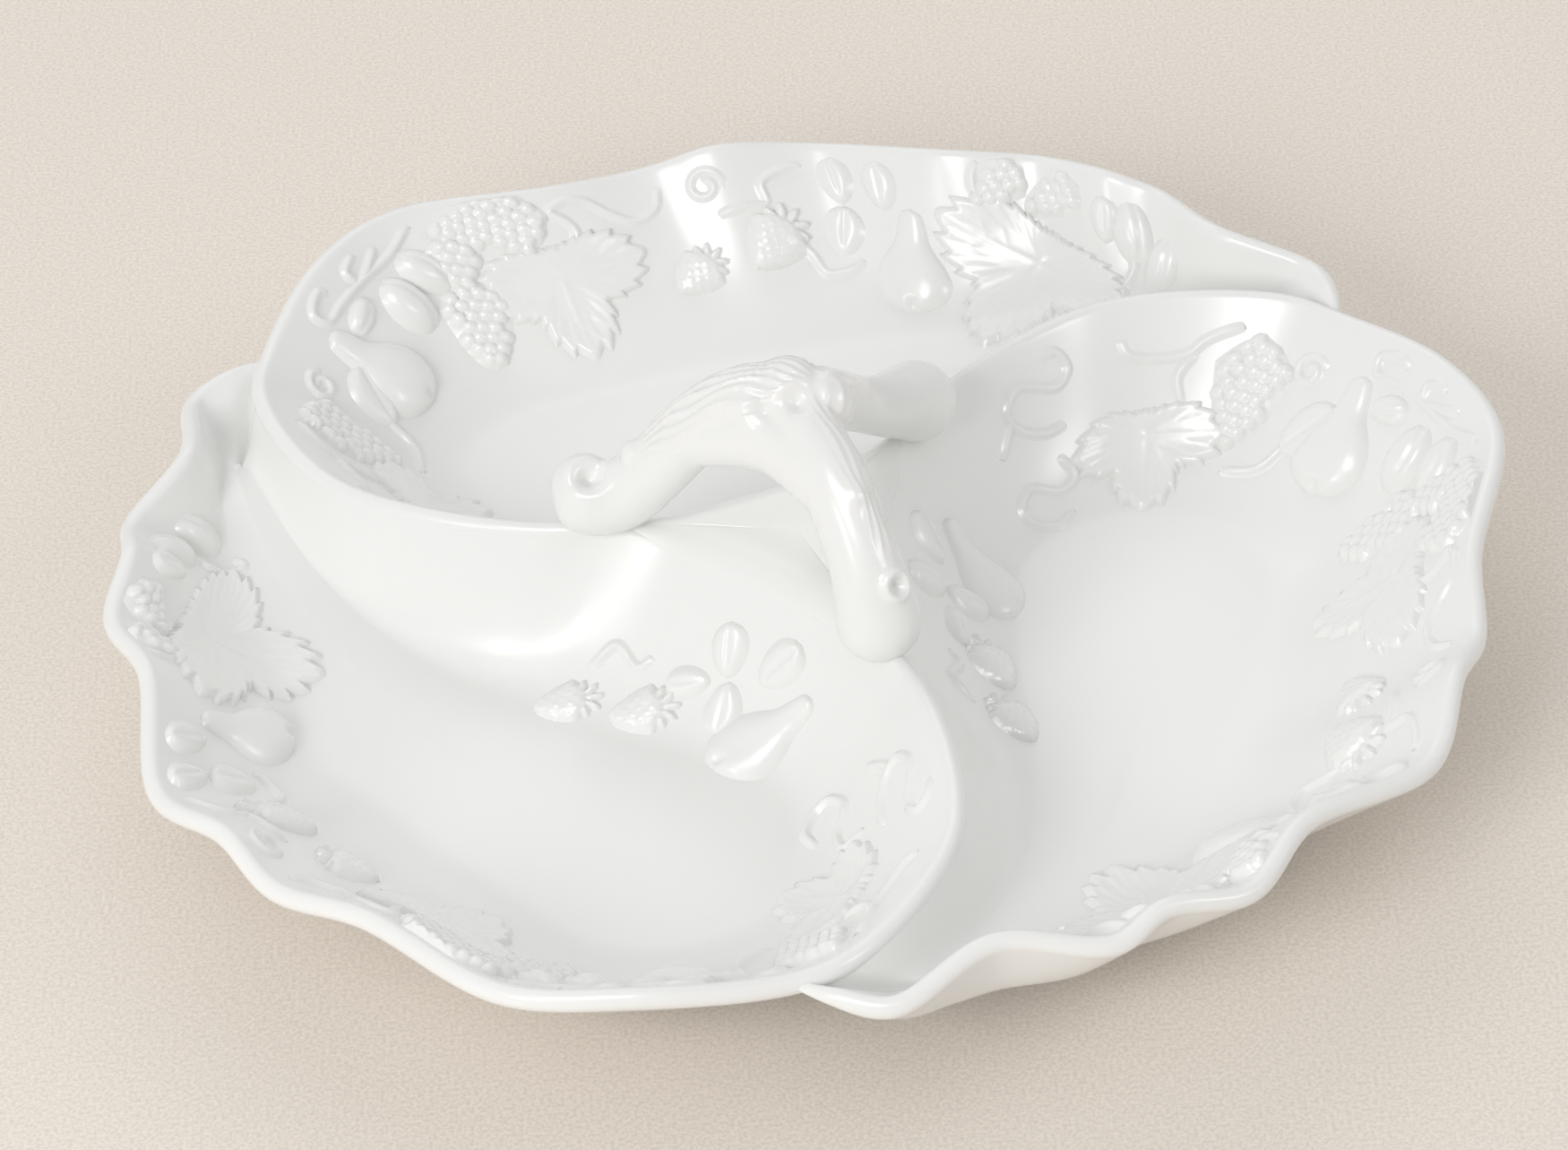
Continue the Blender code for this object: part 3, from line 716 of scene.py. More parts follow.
def berry(a, b, size):
    """Heart of a strawberry with raised seeds, under a crown of small leaves.

    With u from the crown to the tip, the half width goes as (1 - u^2)^0.62 and sets in steeply.
    """
    long, wide = BERRY_LONG * size, BERRY_HALF * size
    u = held(a / long + 0.40)
    half = np.maximum(wide * (1 - u * u) ** 0.62 * held((u + 0.06) / 0.24) ** 0.45, THIN)
    beyond = np.maximum(np.abs(a / long - 0.10) - 0.5, 0.0)
    r = np.abs(b) / half
    seeds = np.cos(2 * math.pi * a / SEED_PITCH) * np.cos(2 * math.pi * b / SEED_PITCH)
    body = BERRY_RISE * size * (half / wide) ** 0.4 * (1 - r ** 3) - size * beyond
    rise = body + SEED_RISE * held(seeds) ** 2 * (body > 0)
    for angle in CALYX_LEAVES:
        inside = lobe(a + CALYX_PLACE * size, b, angle, CALYX_LONG * size, CALYX_HALF * size)
        rise = np.maximum(rise, CALYX_RISE * step_up(inside, CALYX_EDGE))
    return rise


def leaf(a, b, size):
    """Vine leaf with three broad, toothed lobes, a rib along each and veins off the ribs.

    The outline's distance from the stem falls from each lobe's tip as cos^3 of the angle, and a
    lopsided sawtooth of the angle cuts the teeth, which point to the tip.
    """
    away, angle = np.hypot(a, b), np.arctan2(b, a)
    inside, veins = np.full(away.shape, -1.0), np.zeros(away.shape)
    for turn in LEAF_LOBES:
        off = np.abs(np.mod(angle - math.radians(turn) + math.pi, 2 * math.pi) - math.pi)
        edge = size * (LEAF_NOTCH + (1 - LEAF_NOTCH) * np.cos(np.minimum(off, math.pi / 2)) ** 3)
        phase = np.mod(off * TOOTH_REACH * size / TOOTH, 1.0)
        tooth = np.minimum(phase / TOOTH_LEAN, (1 - phase) / (1 - TOOTH_LEAN))
        edge = edge * (1 - LEAF_TEETH * tooth * held(off / TOOTH_CLEAR))
        inside = np.maximum(inside, edge - away)
        along, across = away * np.cos(off), away * np.sin(off)
        line = np.mod((along - VEIN_SLANT * across) / VEIN_PITCH, 1.0) - 0.5
        shown = np.exp(-(off / VEIN_SPREAD) ** 4) * held(along / (0.3 * size))
        veins = np.maximum(veins, bell(across / VEIN_WIDTH) * (along > 0))
        veins = np.maximum(veins, 0.5 * shown * bell(line * VEIN_PITCH / VEIN_WIDTH))
    sag = LEAF_SAG * held(inside / (0.4 * size))
    ribs = VEIN_RISE * veins * held(inside / VEIN_FADE)
    return LEAF_RISE * (1 - sag) * step_up(0.7 * inside, LEAF_EDGE) + ribs


def petal(a, b, size):
    """Small soft leaf with a groove along it, broadest towards its root."""
    u = held(a / size + 0.5)
    inside = PETAL_HALF * size * (4 * u * (1 - u)) ** 0.5 * (1.1 - 0.35 * u) - np.abs(b) - past(a, size)
    groove = GROOVE_DEPTH * bell(b / GROOVE_WIDTH) * held(inside / GROOVE_FADE)
    return PETAL_RISE * step_up(inside, PETAL_EDGE) - groove


def grapes(a, b, size):
    """Bunch of beads in staggered rows on a mound with a drop-shaped outline.

    Each bead strays a little from its place, by a sine of its row and its place in the row.
    """
    pitch = ROW_PITCH * BEAD_PITCH
    row = np.round(a / pitch)
    beads = np.zeros(np.broadcast(a, b).shape)
    for ahead in (-1, 0, 1):
        line = row + ahead
        shift = 0.5 * np.mod(line, 2)
        for beside in (-1, 0, 1):
            place = np.round(b / BEAD_PITCH - shift) + beside
            stray = BEAD_STRAY * BEAD_PITCH * np.sin(12.9 * line + 7.7 * place)
            centre_a, centre_b = pitch * line + stray, BEAD_PITCH * (place + shift) - stray
            kept = bunch_half(centre_a, size) >= np.abs(centre_b)
            near = ((a - centre_a) ** 2 + (b - centre_b) ** 2) / BEAD_RADIUS ** 2
            beads = np.maximum(beads, np.where(kept, held(1 - near), 0.0))
    inside = bunch_half(a, size) + 0.4 * BEAD_PITCH - np.abs(b) - past(a, size)
    return MOUND_RISE * step_up(inside, MOUND_EDGE) + BEAD_RISE * np.sqrt(beads)


def bunch_half(a, size):
    """Half width of a bunch along it, under 0 beyond its ends."""
    u = held(a / size + 0.5)
    return BUNCH_HALF * size * np.sqrt(1 - u) * held(0.45 + 3 * u) - past(a, size)


def curl(t):
    """Spiral that winds in from half its size."""
    radius, angle = 0.5 * (1 - 0.72 * t), 2.7 * math.pi * t
    return radius * np.cos(angle), radius * np.sin(angle)


def wave(t):
    """Line with one and a quarter swings."""
    return t - 0.5, 0.17 * np.sin(2.5 * math.pi * t)


def hook(t):
    """Open bow with a turned-in end."""
    angle = 1.25 * math.pi * t
    return -0.5 * np.cos(angle) * (1 - 0.3 * t * t), 0.5 * np.sin(angle)


# Standing forms with their half extents in lengths, and drawn lines with the thickness of their stem
FORMS = {
    "plum": (plum, 0.52, 0.34), "pear": (pear, 0.53, 0.42), "berry": (berry, 0.66, 0.48),
    "leaf": (leaf, 1.03, 1.03), "petal": (petal, 0.53, 0.46), "grapes": (grapes, 0.62, 0.52),
}
LINES = {"curl": (curl, 0.0009), "wave": (wave, 0.0010), "hook": (hook, 0.0010)}


def closed_patch(front, back, shown):
    """Points and faces of the cells where a patch stands out, with their back and a strip round both."""
    wide = shown[:-1, :-1] | shown[1:, :-1] | shown[1:, 1:] | shown[:-1, 1:]
    count = shown.size
    ids = np.arange(count).reshape(shown.shape)
    quads = np.stack([ids[:-1, :-1], ids[1:, :-1], ids[1:, 1:], ids[:-1, 1:]], axis=-1)[wide]
    edges = np.stack([quads, np.roll(quads, -1, axis=1)], axis=-1).reshape(-1, 2)
    border = edges[~np.isin(edges[:, 0] * count + edges[:, 1], edges[:, 1] * count + edges[:, 0])]
    strip = np.stack([border[:, 1], border[:, 0], border[:, 0] + count, border[:, 1] + count], axis=1)
    used, faces = np.unique(np.vstack([quads, quads[:, ::-1] + count, strip]), return_inverse=True)
    return np.vstack([front.reshape(-1, 3), back.reshape(-1, 3)])[used], faces.reshape(-1, 4), used


def standing_form(wall, name, spot, size, height):
    """Form that stands out of the wall by its rise, and dips under it round its foot."""
    rise_of, long, wide = FORMS[name]
    a = np.linspace(-long * size, long * size, round(2 * long * size / RELIEF_STEP) + 1)[:, None]
    b = np.linspace(-wide * size, wide * size, round(2 * wide * size / RELIEF_STEP) + 1)[None, :]
    rise = np.maximum(height * rise_of(a, b, size), -RELIEF_FOOT)
    points, normals = on_wall(wall, spot, a + 0 * b, b + 0 * a)
    front = points + rise[:, :, None] * normals
    points, faces, used = closed_patch(front, points - RELIEF_BACK * normals, rise > -RELIEF_FOOT)
    # Painted shade and pooled glaze, strongest where the form meets the wall
    pooled = np.concatenate([np.exp(-np.abs(rise.ravel()) / RELIEF_POOL_AND_SHADE), np.ones(rise.size)])[used]
    return points, faces, pooled


def drawn_line(wall, name, spot, size, height):
    """Stem along one of the drawn lines, laid on the wall at a spot."""
    line, thick = LINES[name]
    a, b = line(np.linspace(0.0, 1.0, LINE_STEPS))
    return stem(*on_wall(wall, spot, size * a, size * b), thick, height)


def vine(wall, places, height):
    """Stem along a cubic through places on the wall."""
    points, normals = wall
    columns = [share / 1000 * STATIONS for share, _ in places]
    rows = [
        np.interp(depth / 1000, lengths_along(points[:, round(column)]), np.arange(len(points)))
        for column, (_, depth) in zip(columns, places)
    ]
    row, column = smooth_curve(np.column_stack([rows, columns]), VINE_STEPS).T
    return stem(sampled(points, row, column), unit(sampled(normals, row, column)), VINE_RADIUS, height)


def stem(points, normals, thick, height):
    """Soft stem along points on the wall: a bell across it, sunk at its sides and closed underneath."""
    t = lengths_along(points)
    ends = np.minimum(t, t[-1] - t) / np.minimum(LINE_TAPER, 0.3 * t[-1])
    full = np.sqrt(held(ends))[:, None, None]
    steps = len(points)
    points, normals = points[:, None], normals[:, None]
    side = np.cross(normals, unit(np.gradient(points, axis=0)))
    across = np.linspace(1.0, -1.0, LINE_SIDES)[None, :, None]
    rise = STEM_RISE * height * thick * full * bell(STEM_BELL * across) - LINE_SUNK
    top = points + STEM_SPREAD * thick * across * side + rise * normals
    under = points + STEM_SPREAD * thick * across[:, [-1, 0]] * side - RELIEF_BACK * normals
    rows = np.concatenate([top, under], axis=1)
    count = rows.shape[1]
    half = np.arange(count // 2 - 1)
    end = np.stack([half, half + 1, count - 2 - half, count - 1 - half], axis=-1)
    faces = np.vstack([quads_between(steps, count), end[:, ::-1], end + (steps - 1) * count])
    return rows.reshape(-1, 3), faces, np.zeros(len(rows) * count)


def relief_parts(wall, height):
    """Points, faces and the pooled glaze and painted shade of the whole relief of one bowl."""
    points, faces, pooled, count, made = [], [], [], 0, []
    for name, share, depth, turn, size in RELIEF:
        shape = standing_form if name in FORMS else drawn_line
        made.append(shape(wall, name, (share / 1000, depth / 1000, turn), size / 1000, height))
    made += [vine(wall, places, height) for places in VINES]
    for more_points, more_faces, more_pool_and_shade in made:
        points.append(more_points)
        faces.append(more_faces + count)
        pooled.append(more_pool_and_shade)
        count += len(more_points)
    return np.vstack(points), np.vstack(faces), np.concatenate(pooled)


def web_rows():
    """Rows of the web from its middle out, over its shoulder and back underneath.

    The outline is the web edge of one bowl and its two turned copies. The plate dips by (1 - r^2)^2 of
    the dip towards the middle; its shoulder is an arc that runs down into the bowls' walls, tighter
    towards the corners, where the two edges close in on the line between them.
    """
    own, edge, other = crest_line()
    edge = edge * (1, 1, 0)
    ends = unit(np.stack([own[-1], other[0]]) * (1, 1, 0))
    room = np.abs(np.cross(edge[:, None], ends)[:, :, 2]).min(axis=1)
    full = SHOULDER_RADIUS * math.sin(SHOULDER_TURN) - WEB_OVERHANG
    bend = np.tile(np.clip(room / full, SHOULDER_LEAST, 1.0), 3)[:, None]
    into_bowl = unit(np.column_stack([-np.gradient(edge[:, 1]), np.gradient(edge[:, 0]), 0 * edge[:, 0]]))
    edge, into_bowl = (np.vstack([turned(row, -k * THIRD) for k in range(3)]) for row in (edge, into_bowl))
    turn = np.linspace(0.0, SHOULDER_TURN, SHOULDER_ROWS)[:, None, None]
    reach = WEB_OVERHANG * bend - bend * SHOULDER_RADIUS * (math.sin(SHOULDER_TURN) - np.sin(turn))
    height = RIDGE_HEIGHT - bend * SHOULDER_RADIUS * (1 - np.cos(turn))
    shoulder = edge + reach * into_bowl + height * UP
    share = np.linspace(WEB_FIRST_ROW, 1.0, WEB_ROWS, endpoint=False)[:, None, None]
    plate = share * shoulder[0] * (1, 1, 0) + (RIDGE_HEIGHT - WEB_DIP * (1 - share ** 2) ** 2) * UP
    tucked = shoulder[-1:] - WEB_TUCK_IN * into_bowl - WEB_TUCK_DOWN * UP
    low = tucked[..., 2].min() * UP
    return np.vstack([plate, shoulder, tucked, share[::-1] * tucked * (1, 1, 0) + low])


def limb_path(limb, seat):
    """Centre line of a limb from the crown to its heel: a cubic through its table."""
    low = RIDGE_HEIGHT + HEEL_HEIGHT
    share, rise = np.array(limb).T
    points = np.column_stack([share[:, None] * seat[:2], low + rise * (CROWN_HEIGHT - low)])
    return smooth_curve(np.vstack([[0.0, 0.0, CROWN_HEIGHT], points]), LIMB_STEPS)


def limb_rows(path, branch, heel):
    """Rings square to a path, closed by rounded ends; the radius swells from branch to heel."""
    share = np.linspace(0.0, 1.0, len(path))
    swell = held((share - HEEL_START) / (1.0 - HEEL_START))
    radius = branch + (heel - branch) * swell * swell * (3 - 2 * swell)
    along = unit(np.gradient(path, axis=0))
    side = unit(np.cross(UP, along))
    over = np.cross(along, side)
    angle = np.linspace(0.0, 2 * math.pi, LIMB_SIDES, endpoint=False)[None, :, None]
    ring = np.cos(angle) * side[:, None] + np.sin(angle) * over[:, None]
    rows = path[:, None] + radius[:, None, None] * ring
    tilt = np.linspace(0.0, math.pi / 2, CAP_ROWS)[1:-1, None, None]
    first = path[0] + radius[0] * (np.cos(tilt) * ring[0] - np.sin(tilt) * along[0])
    last = path[-1] + radius[-1] * (np.cos(tilt) * ring[-1] + np.sin(tilt) * along[-1])
    return np.vstack([first[::-1], rows, last])


def ball_rows(place, radius):
    """Rings of a ball from pole to pole."""
    tilt = np.linspace(0.0, math.pi, BALL_ROWS)[1:-1, None]
    angle = np.linspace(0.0, 2 * math.pi, LIMB_SIDES, endpoint=False)[None, :]
    ball = (np.sin(tilt) * np.cos(angle), np.sin(tilt) * np.sin(angle), -np.cos(tilt))
    return place + radius * np.stack(np.broadcast_arrays(*ball), axis=-1)


def fused(name, shells, voxel, passes):
    """One skin round shells that run into each other: voxels, then smoothing passes."""
    points, faces, count = [], [], 0
    for rows in shells:
        faces += [[corner + count for corner in face] for face in row_faces(rows)]
        points.append(rows.reshape(-1, 3))
        count += rows.shape[0] * rows.shape[1]
    rough = bpy.data.objects.new(name, new_mesh(name + "_rough", np.vstack(points), faces))
    bpy.context.scene.collection.objects.link(rough)
    remesh = rough.modifiers.new("remesh", "REMESH")
    remesh.mode = "VOXEL"
    remesh.voxel_size = voxel
    smooth = rough.modifiers.new("smooth", "SMOOTH")
    smooth.factor = 0.5
    smooth.iterations = passes
    mesh = bpy.data.meshes.new_from_object(rough.evaluated_get(bpy.context.evaluated_depsgraph_get()))
    bpy.data.objects.remove(rough)
    mesh.name = name
    return mesh


def bark_rise(points, paths):
    """Height of the bark's strands over the nearest limb, and how deep a point lies in a groove, which is
    painted as shade and pooled glaze.

    With u along the limb and a round it, strands are a raised cosine, to a power, of a phase that
    winds slowly with u and sways. They show round each limb's facing and fade at both ends.
    """
    apart = [np.linalg.norm(points[:, None] - path[None, ::PATH_SKIP], axis=2) for path in paths]
    limb = np.stack([distance.min(axis=1) for distance in apart]).argmin(axis=0)
    rise, groove = np.zeros(len(points)), np.zeros(len(points))
    for index, (path, row) in enumerate(zip(paths, BARK)):
        strength, twist, strands, start, end, facing, spread = row
        step = apart[index].argmin(axis=1)
        along = unit(np.gradient(path, axis=0))[::PATH_SKIP][step]
        side = unit(np.cross(UP, along))
        over = np.cross(along, side)
        offset = points - path[::PATH_SKIP][step]
        run = lengths_along(path)[::PATH_SKIP][step] + (offset * along).sum(axis=1)
        angle = np.arctan2((offset * side).sum(axis=1), (offset * over).sum(axis=1))
        sway = sum(
            size * np.sin(waves * run + rounds * angle + shift) for size, waves, rounds, shift in BARK_SWAY
        )
        strand = (0.5 + 0.5 * np.cos(strands * angle + twist * run + sway)) ** BARK_SHARPNESS
        turn = np.mod(angle - math.radians(facing) + math.pi, 2 * math.pi) - math.pi
        shown = np.exp(-(turn / math.radians(spread)) ** 4)
        shown *= held((run - start) / BARK_FADE) * held((end - run) / BARK_FADE)
        shown *= limb == index
        rise += strength * shown * (strand - BARK_LEVEL)
        # Painted shade and pooled glaze, deepest between the strands
        groove += shown * (1 - strand) * BARK_POOL_AND_SHADE
    return rise, groove


def knot_rise(points):
    """Heights of bumps, hollows and ringed knots: bells of the distance from each place."""
    rise = np.zeros(len(points))
    for place, radius, height in BUMPS:
        rise += height * bell(np.linalg.norm(points - np.array(place), axis=1) / radius)
    for place, radius, height, depth in KNOTS:
        distance = np.linalg.norm(points - np.array(place), axis=1)
        rise += height * bell((distance - radius) / (KNOT_RING * radius))
        rise -= depth * bell(distance / (KNOT_HOLLOW * radius))
    return rise


def node_group(name, inputs, outputs):
    """Empty shader node group with named sockets: (name, kind, default)."""
    group = bpy.data.node_groups.new(name, "ShaderNodeTree")
    for label, kind, default in inputs:
        socket = group.interface.new_socket(label, in_out="INPUT", socket_type=kind)
        socket.default_value = default
    for label, kind in outputs:
        group.interface.new_socket(label, in_out="OUTPUT", socket_type=kind)
    return group, group.nodes.new("NodeGroupInput"), group.nodes.new("NodeGroupOutput")


def mixed(tree, factor, first, second):
    """Colour between two, by a factor."""
    node = tree.nodes.new("ShaderNodeMix")
    node.data_type = "RGBA"
    for socket, value in ((node.inputs[0], factor), (node.inputs[6], first), (node.inputs[7], second)):
        plugged(tree, socket, value)
    return node.outputs[2]


def maths(tree, operation, first, second):
    """Result of a maths node on two values."""
    node = tree.nodes.new("ShaderNodeMath")
    node.operation = operation
    plugged(tree, node.inputs[0], first)
    plugged(tree, node.inputs[1], second)
    return node.outputs[0]


def plugged(tree, socket, value):
    """Link a socket, or set its number."""
    if isinstance(value, bpy.types.NodeSocket):
        tree.links.new(value, socket)
    else:
        socket.default_value = value


def ranged(tree, value, low, high, start, end):
    """Value carried from one range to another, held at the ends."""
    node = tree.nodes.new("ShaderNodeMapRange")
    plugged(tree, node.inputs["Value"], value)
    for label, number in (("From Min", low), ("From Max", high), ("To Min", start), ("To Max", end)):
        plugged(tree, node.inputs[label], number)
    return node.outputs["Result"]


def texture(tree, kind, **inputs):
    """Texture node of a kind on the piece's own coordinates."""
    place = tree.nodes.new("ShaderNodeTexCoord")
    node = tree.nodes.new(kind)
    for label, value in inputs.items():
        node.inputs[label].default_value = value
    tree.links.new(place.outputs["Object"], node.inputs["Vector"])
    return node


def noise(tree, scale, detail, *ranges):
    """Noise, carried from one range to another where ranges are given."""
    value = texture(tree, "ShaderNodeTexNoise", Scale=scale, Detail=detail).outputs["Fac"]
    return ranged(tree, value, *ranges) if ranges else value


def point_value(tree, name):
    """Attribute of the mesh as a number."""
    node = tree.nodes.new("ShaderNodeAttribute")
    node.attribute_name = name
    return node.outputs["Fac"]


def specks(tree, scale, radius, kept):
    """Mask of small round specks, one in each of the kept cells of a cell pattern."""
    cells = texture(tree, "ShaderNodeTexVoronoi", Scale=scale)
    split = tree.nodes.new("ShaderNodeSeparateColor")
    tree.links.new(cells.outputs["Color"], split.inputs["Color"])
    chosen = maths(tree, "LESS_THAN", split.outputs[0], kept)
    spot = ranged(tree, cells.outputs["Distance"], 0.6 * radius * scale, radius * scale, 1.0, 0.0)
    return maths(tree, "MULTIPLY", chosen, spot)


def glaze_group():
    """Colour, roughness and ripple of a clear glaze.

    The colour goes from the body to the pooled tone with slow noise and with the mesh's value of pooled
    glaze and painted shade, which darkens creases and hollows, then to a few fine iron specks, and to bare
    biscuit where the mesh says so.
    """
    name = "porcelain_glaze"
    if name in bpy.data.node_groups:
        return bpy.data.node_groups[name]
    colour, number = "NodeSocketColor", "NodeSocketFloat"
    inputs = (
        ("Body", colour, (0.8, 0.8, 0.8, 1.0)), ("Pooled", colour, (0.7, 0.7, 0.7, 1.0)),
        ("Biscuit", colour, (0.6, 0.6, 0.5, 1.0)), ("Gloss", number, 0.07), ("Pooling", number, 0.5),
    )
    outputs = (("Colour", colour), ("Roughness", number), ("Ripple", number))
    tree, entry, leave = node_group(name, inputs, outputs)
    # Painted shade in creases and hollows, together with pooled glaze, from the mesh's values
    thick = maths(tree, "MULTIPLY", point_value(tree, "pooled"), entry.outputs["Pooling"])
    share = maths(tree, "MINIMUM", maths(tree, "ADD", noise(tree, *CLOUD), thick), 1.0)
    glazed = mixed(tree, share, entry.outputs["Body"], entry.outputs["Pooled"])
    iron = maths(tree, "MULTIPLY", specks(tree, SPECK_SCALE, SPECK_RADIUS, SPECKS_KEPT), SPECK_DEPTH)
    bare = point_value(tree, "bare")
    biscuit = mixed(tree, noise(tree, *BISCUIT_GRAIN), entry.outputs["Biscuit"], DARK_BISCUIT)
    tree.links.new(mixed(tree, bare, mixed(tree, iron, glazed, IRON), biscuit), leave.inputs["Colour"])
    clear = maths(tree, "ADD", entry.outputs["Gloss"], noise(tree, *GLOSS_WANDER))
    dull = maths(tree, "MULTIPLY", bare, BISCUIT_DULLNESS)
    tree.links.new(maths(tree, "ADD", clear, dull), leave.inputs["Roughness"])
    grit = maths(tree, "MULTIPLY", maths(tree, "MULTIPLY", noise(tree, *GRIT), bare), GRIT_SHARE)
    tree.links.new(maths(tree, "ADD", noise(tree, *SWELL), grit), leave.inputs["Ripple"])
    return tree


def glaze_material(name, settings):
    """Clear glaze over white porcelain, with the shared glaze group."""
    if name in bpy.data.materials:
        return bpy.data.materials[name]
    material = bpy.data.materials.new(name)
    material.use_nodes = True
    tree = material.node_tree
    shader = tree.nodes["Principled BSDF"]
    shader.inputs["IOR"].default_value = GLAZE_IOR
    glaze = tree.nodes.new("ShaderNodeGroup")
    glaze.node_tree = glaze_group()
    for label in ("Body", "Pooled", "Biscuit", "Gloss", "Pooling"):
        glaze.inputs[label].default_value = getattr(settings, label.lower())
    bump = tree.nodes.new("ShaderNodeBump")
    bump.inputs["Strength"].default_value = RIPPLE_STRENGTH
    bump.inputs["Distance"].default_value = RIPPLE_DEPTH
    tree.links.new(glaze.outputs["Colour"], shader.inputs["Base Color"])
    tree.links.new(glaze.outputs["Roughness"], shader.inputs["Roughness"])
    tree.links.new(glaze.outputs["Ripple"], bump.inputs["Height"])
    tree.links.new(bump.outputs["Normal"], shader.inputs["Normal"])
    return material


class DISH_OT_bowls(bpy.types.Operator):
    """Make the three ruffled bowls with their lips and standing rings"""

    bl_idname = "dish.bowls"
    bl_label = "Bowls"

    def execute(self, context):
        """One skin, turned three times."""
        settings = context.scene.dish_bowls
        hollow, lip, outside, ring, place = bowl_rows(settings.wall)
        rows = np.vstack([hollow, lip, outside, ring])
        foot = len(rows) - len(ring)
        bare = np.zeros(rows.shape[:2])
        bare[foot + 1:foot + len(ring) - 1] = ring[1:-1, :, 2] < BARE_HEIGHT
        # Painted shade and pooled glaze in the crease where the wall meets the floor
        pooled = np.zeros(rows.shape[:2])
        edge = np.arange(len(hollow)) - FLOOR_ROWS
        pooled[:len(hollow)] = (FLOOR_POOL_AND_SHADE * bell(edge / FLOOR_POOL_AND_SHADE_ROWS))[:, None]
        add_to_bowls(context, "_skin", rows, capped_faces(rows, ladder(place)), bare=bare, pooled=pooled)
        return {"FINISHED"}


class DISH_OT_relief(bpy.types.Operator):
    """Make the fruit, leaves and tendrils moulded on the bowls' walls"""

    bl_idname = "dish.relief"
    bl_label = "Fruit relief"

    def execute(self, context):
        """One relief, turned three times."""
        settings = context.scene.dish_bowls
        hollow = bowl_rows(settings.wall)[0][::-1]
        wall = (hollow, -grid_normals(hollow))
        points, faces, pooled = relief_parts(wall, settings.relief)
        add_to_bowls(context, "_fruit", points, faces.tolist(), pooled=pooled)
        return {"FINISHED"}


class DISH_OT_web(bpy.types.Operator):
    """Make the web between the three bowls"""

    bl_idname = "dish.web"
    bl_label = "Centre web"

    def execute(self, context):
        """Dipped plate with a rounded shoulder."""
        rows = web_rows()
        mesh = new_mesh("centre_web_skin", rows.reshape(-1, 3) + dish_axis(), row_faces(rows))
        mesh.flip_normals()
        add_piece(context, mesh, "centre_web", "web_glaze", pooled=np.zeros(rows.shape[:2]))
        return {"FINISHED"}


class DISH_OT_handle(bpy.types.Operator):
    """Make the forked branch with its bark, knots and heels"""

    bl_idname = "dish.handle"
    bl_label = "Branch handle"

    def execute(self, context):
        """Limbs run together, then the bark and the knots."""
        settings = context.scene.dish_handle
        seat = polar(SEAT[0], SEAT[1], 0.0)
        paths = [
            limb_path(limb, turned(seat, turn))
            for limb, turn in ((LEFT_LIMB, 2 * THIRD), (BACK_LIMB, THIRD), (FRONT_LIMB, 0.0))
        ]
        shells = [
            limb_rows(path, thin * settings.branch, thick * settings.heel)
            for path, (thin, thick) in zip(paths, GIRTHS)
        ]
        shells.append(ball_rows(CROWN_HEIGHT * UP, settings.crown))
        ends = [path[round(CROTCH_SHARE * len(path))] for path in (paths[0], paths[2])]
        between = np.mean([*ends, CROWN_HEIGHT * UP], axis=0)
        bend = smooth_curve(np.array([ends[0], between, ends[1]]), LIMB_STEPS)
        shells.append(limb_rows(bend, CROTCH_RADIUS, CROTCH_RADIUS))
        shells += [ball_rows(np.array(place), radius) for place, radius in KNOBS]
        mesh = fused("branch_handle_skin", shells, HANDLE_VOXEL, HANDLE_SMOOTHING)
        points, normals = mesh_values(mesh, "co"), mesh_values(mesh, "normal")
        bark, groove = bark_rise(points, paths)
        points += (settings.bark * bark + knot_rise(points))[:, None] * normals
        points[:, 2] = np.clip(points[:, 2], RIDGE_HEIGHT - HEEL_SINK, CAD_BOX[1][2])
        mesh.vertices.foreach_set("co", (points + dish_axis()).ravel())
        mesh.shade_smooth()
        mesh.update()
        # The grooves' values paint shade and pooled glaze on the bark
        add_piece(context, mesh, "branch_handle", "handle_glaze", pooled=groove)
        return {"FINISHED"}


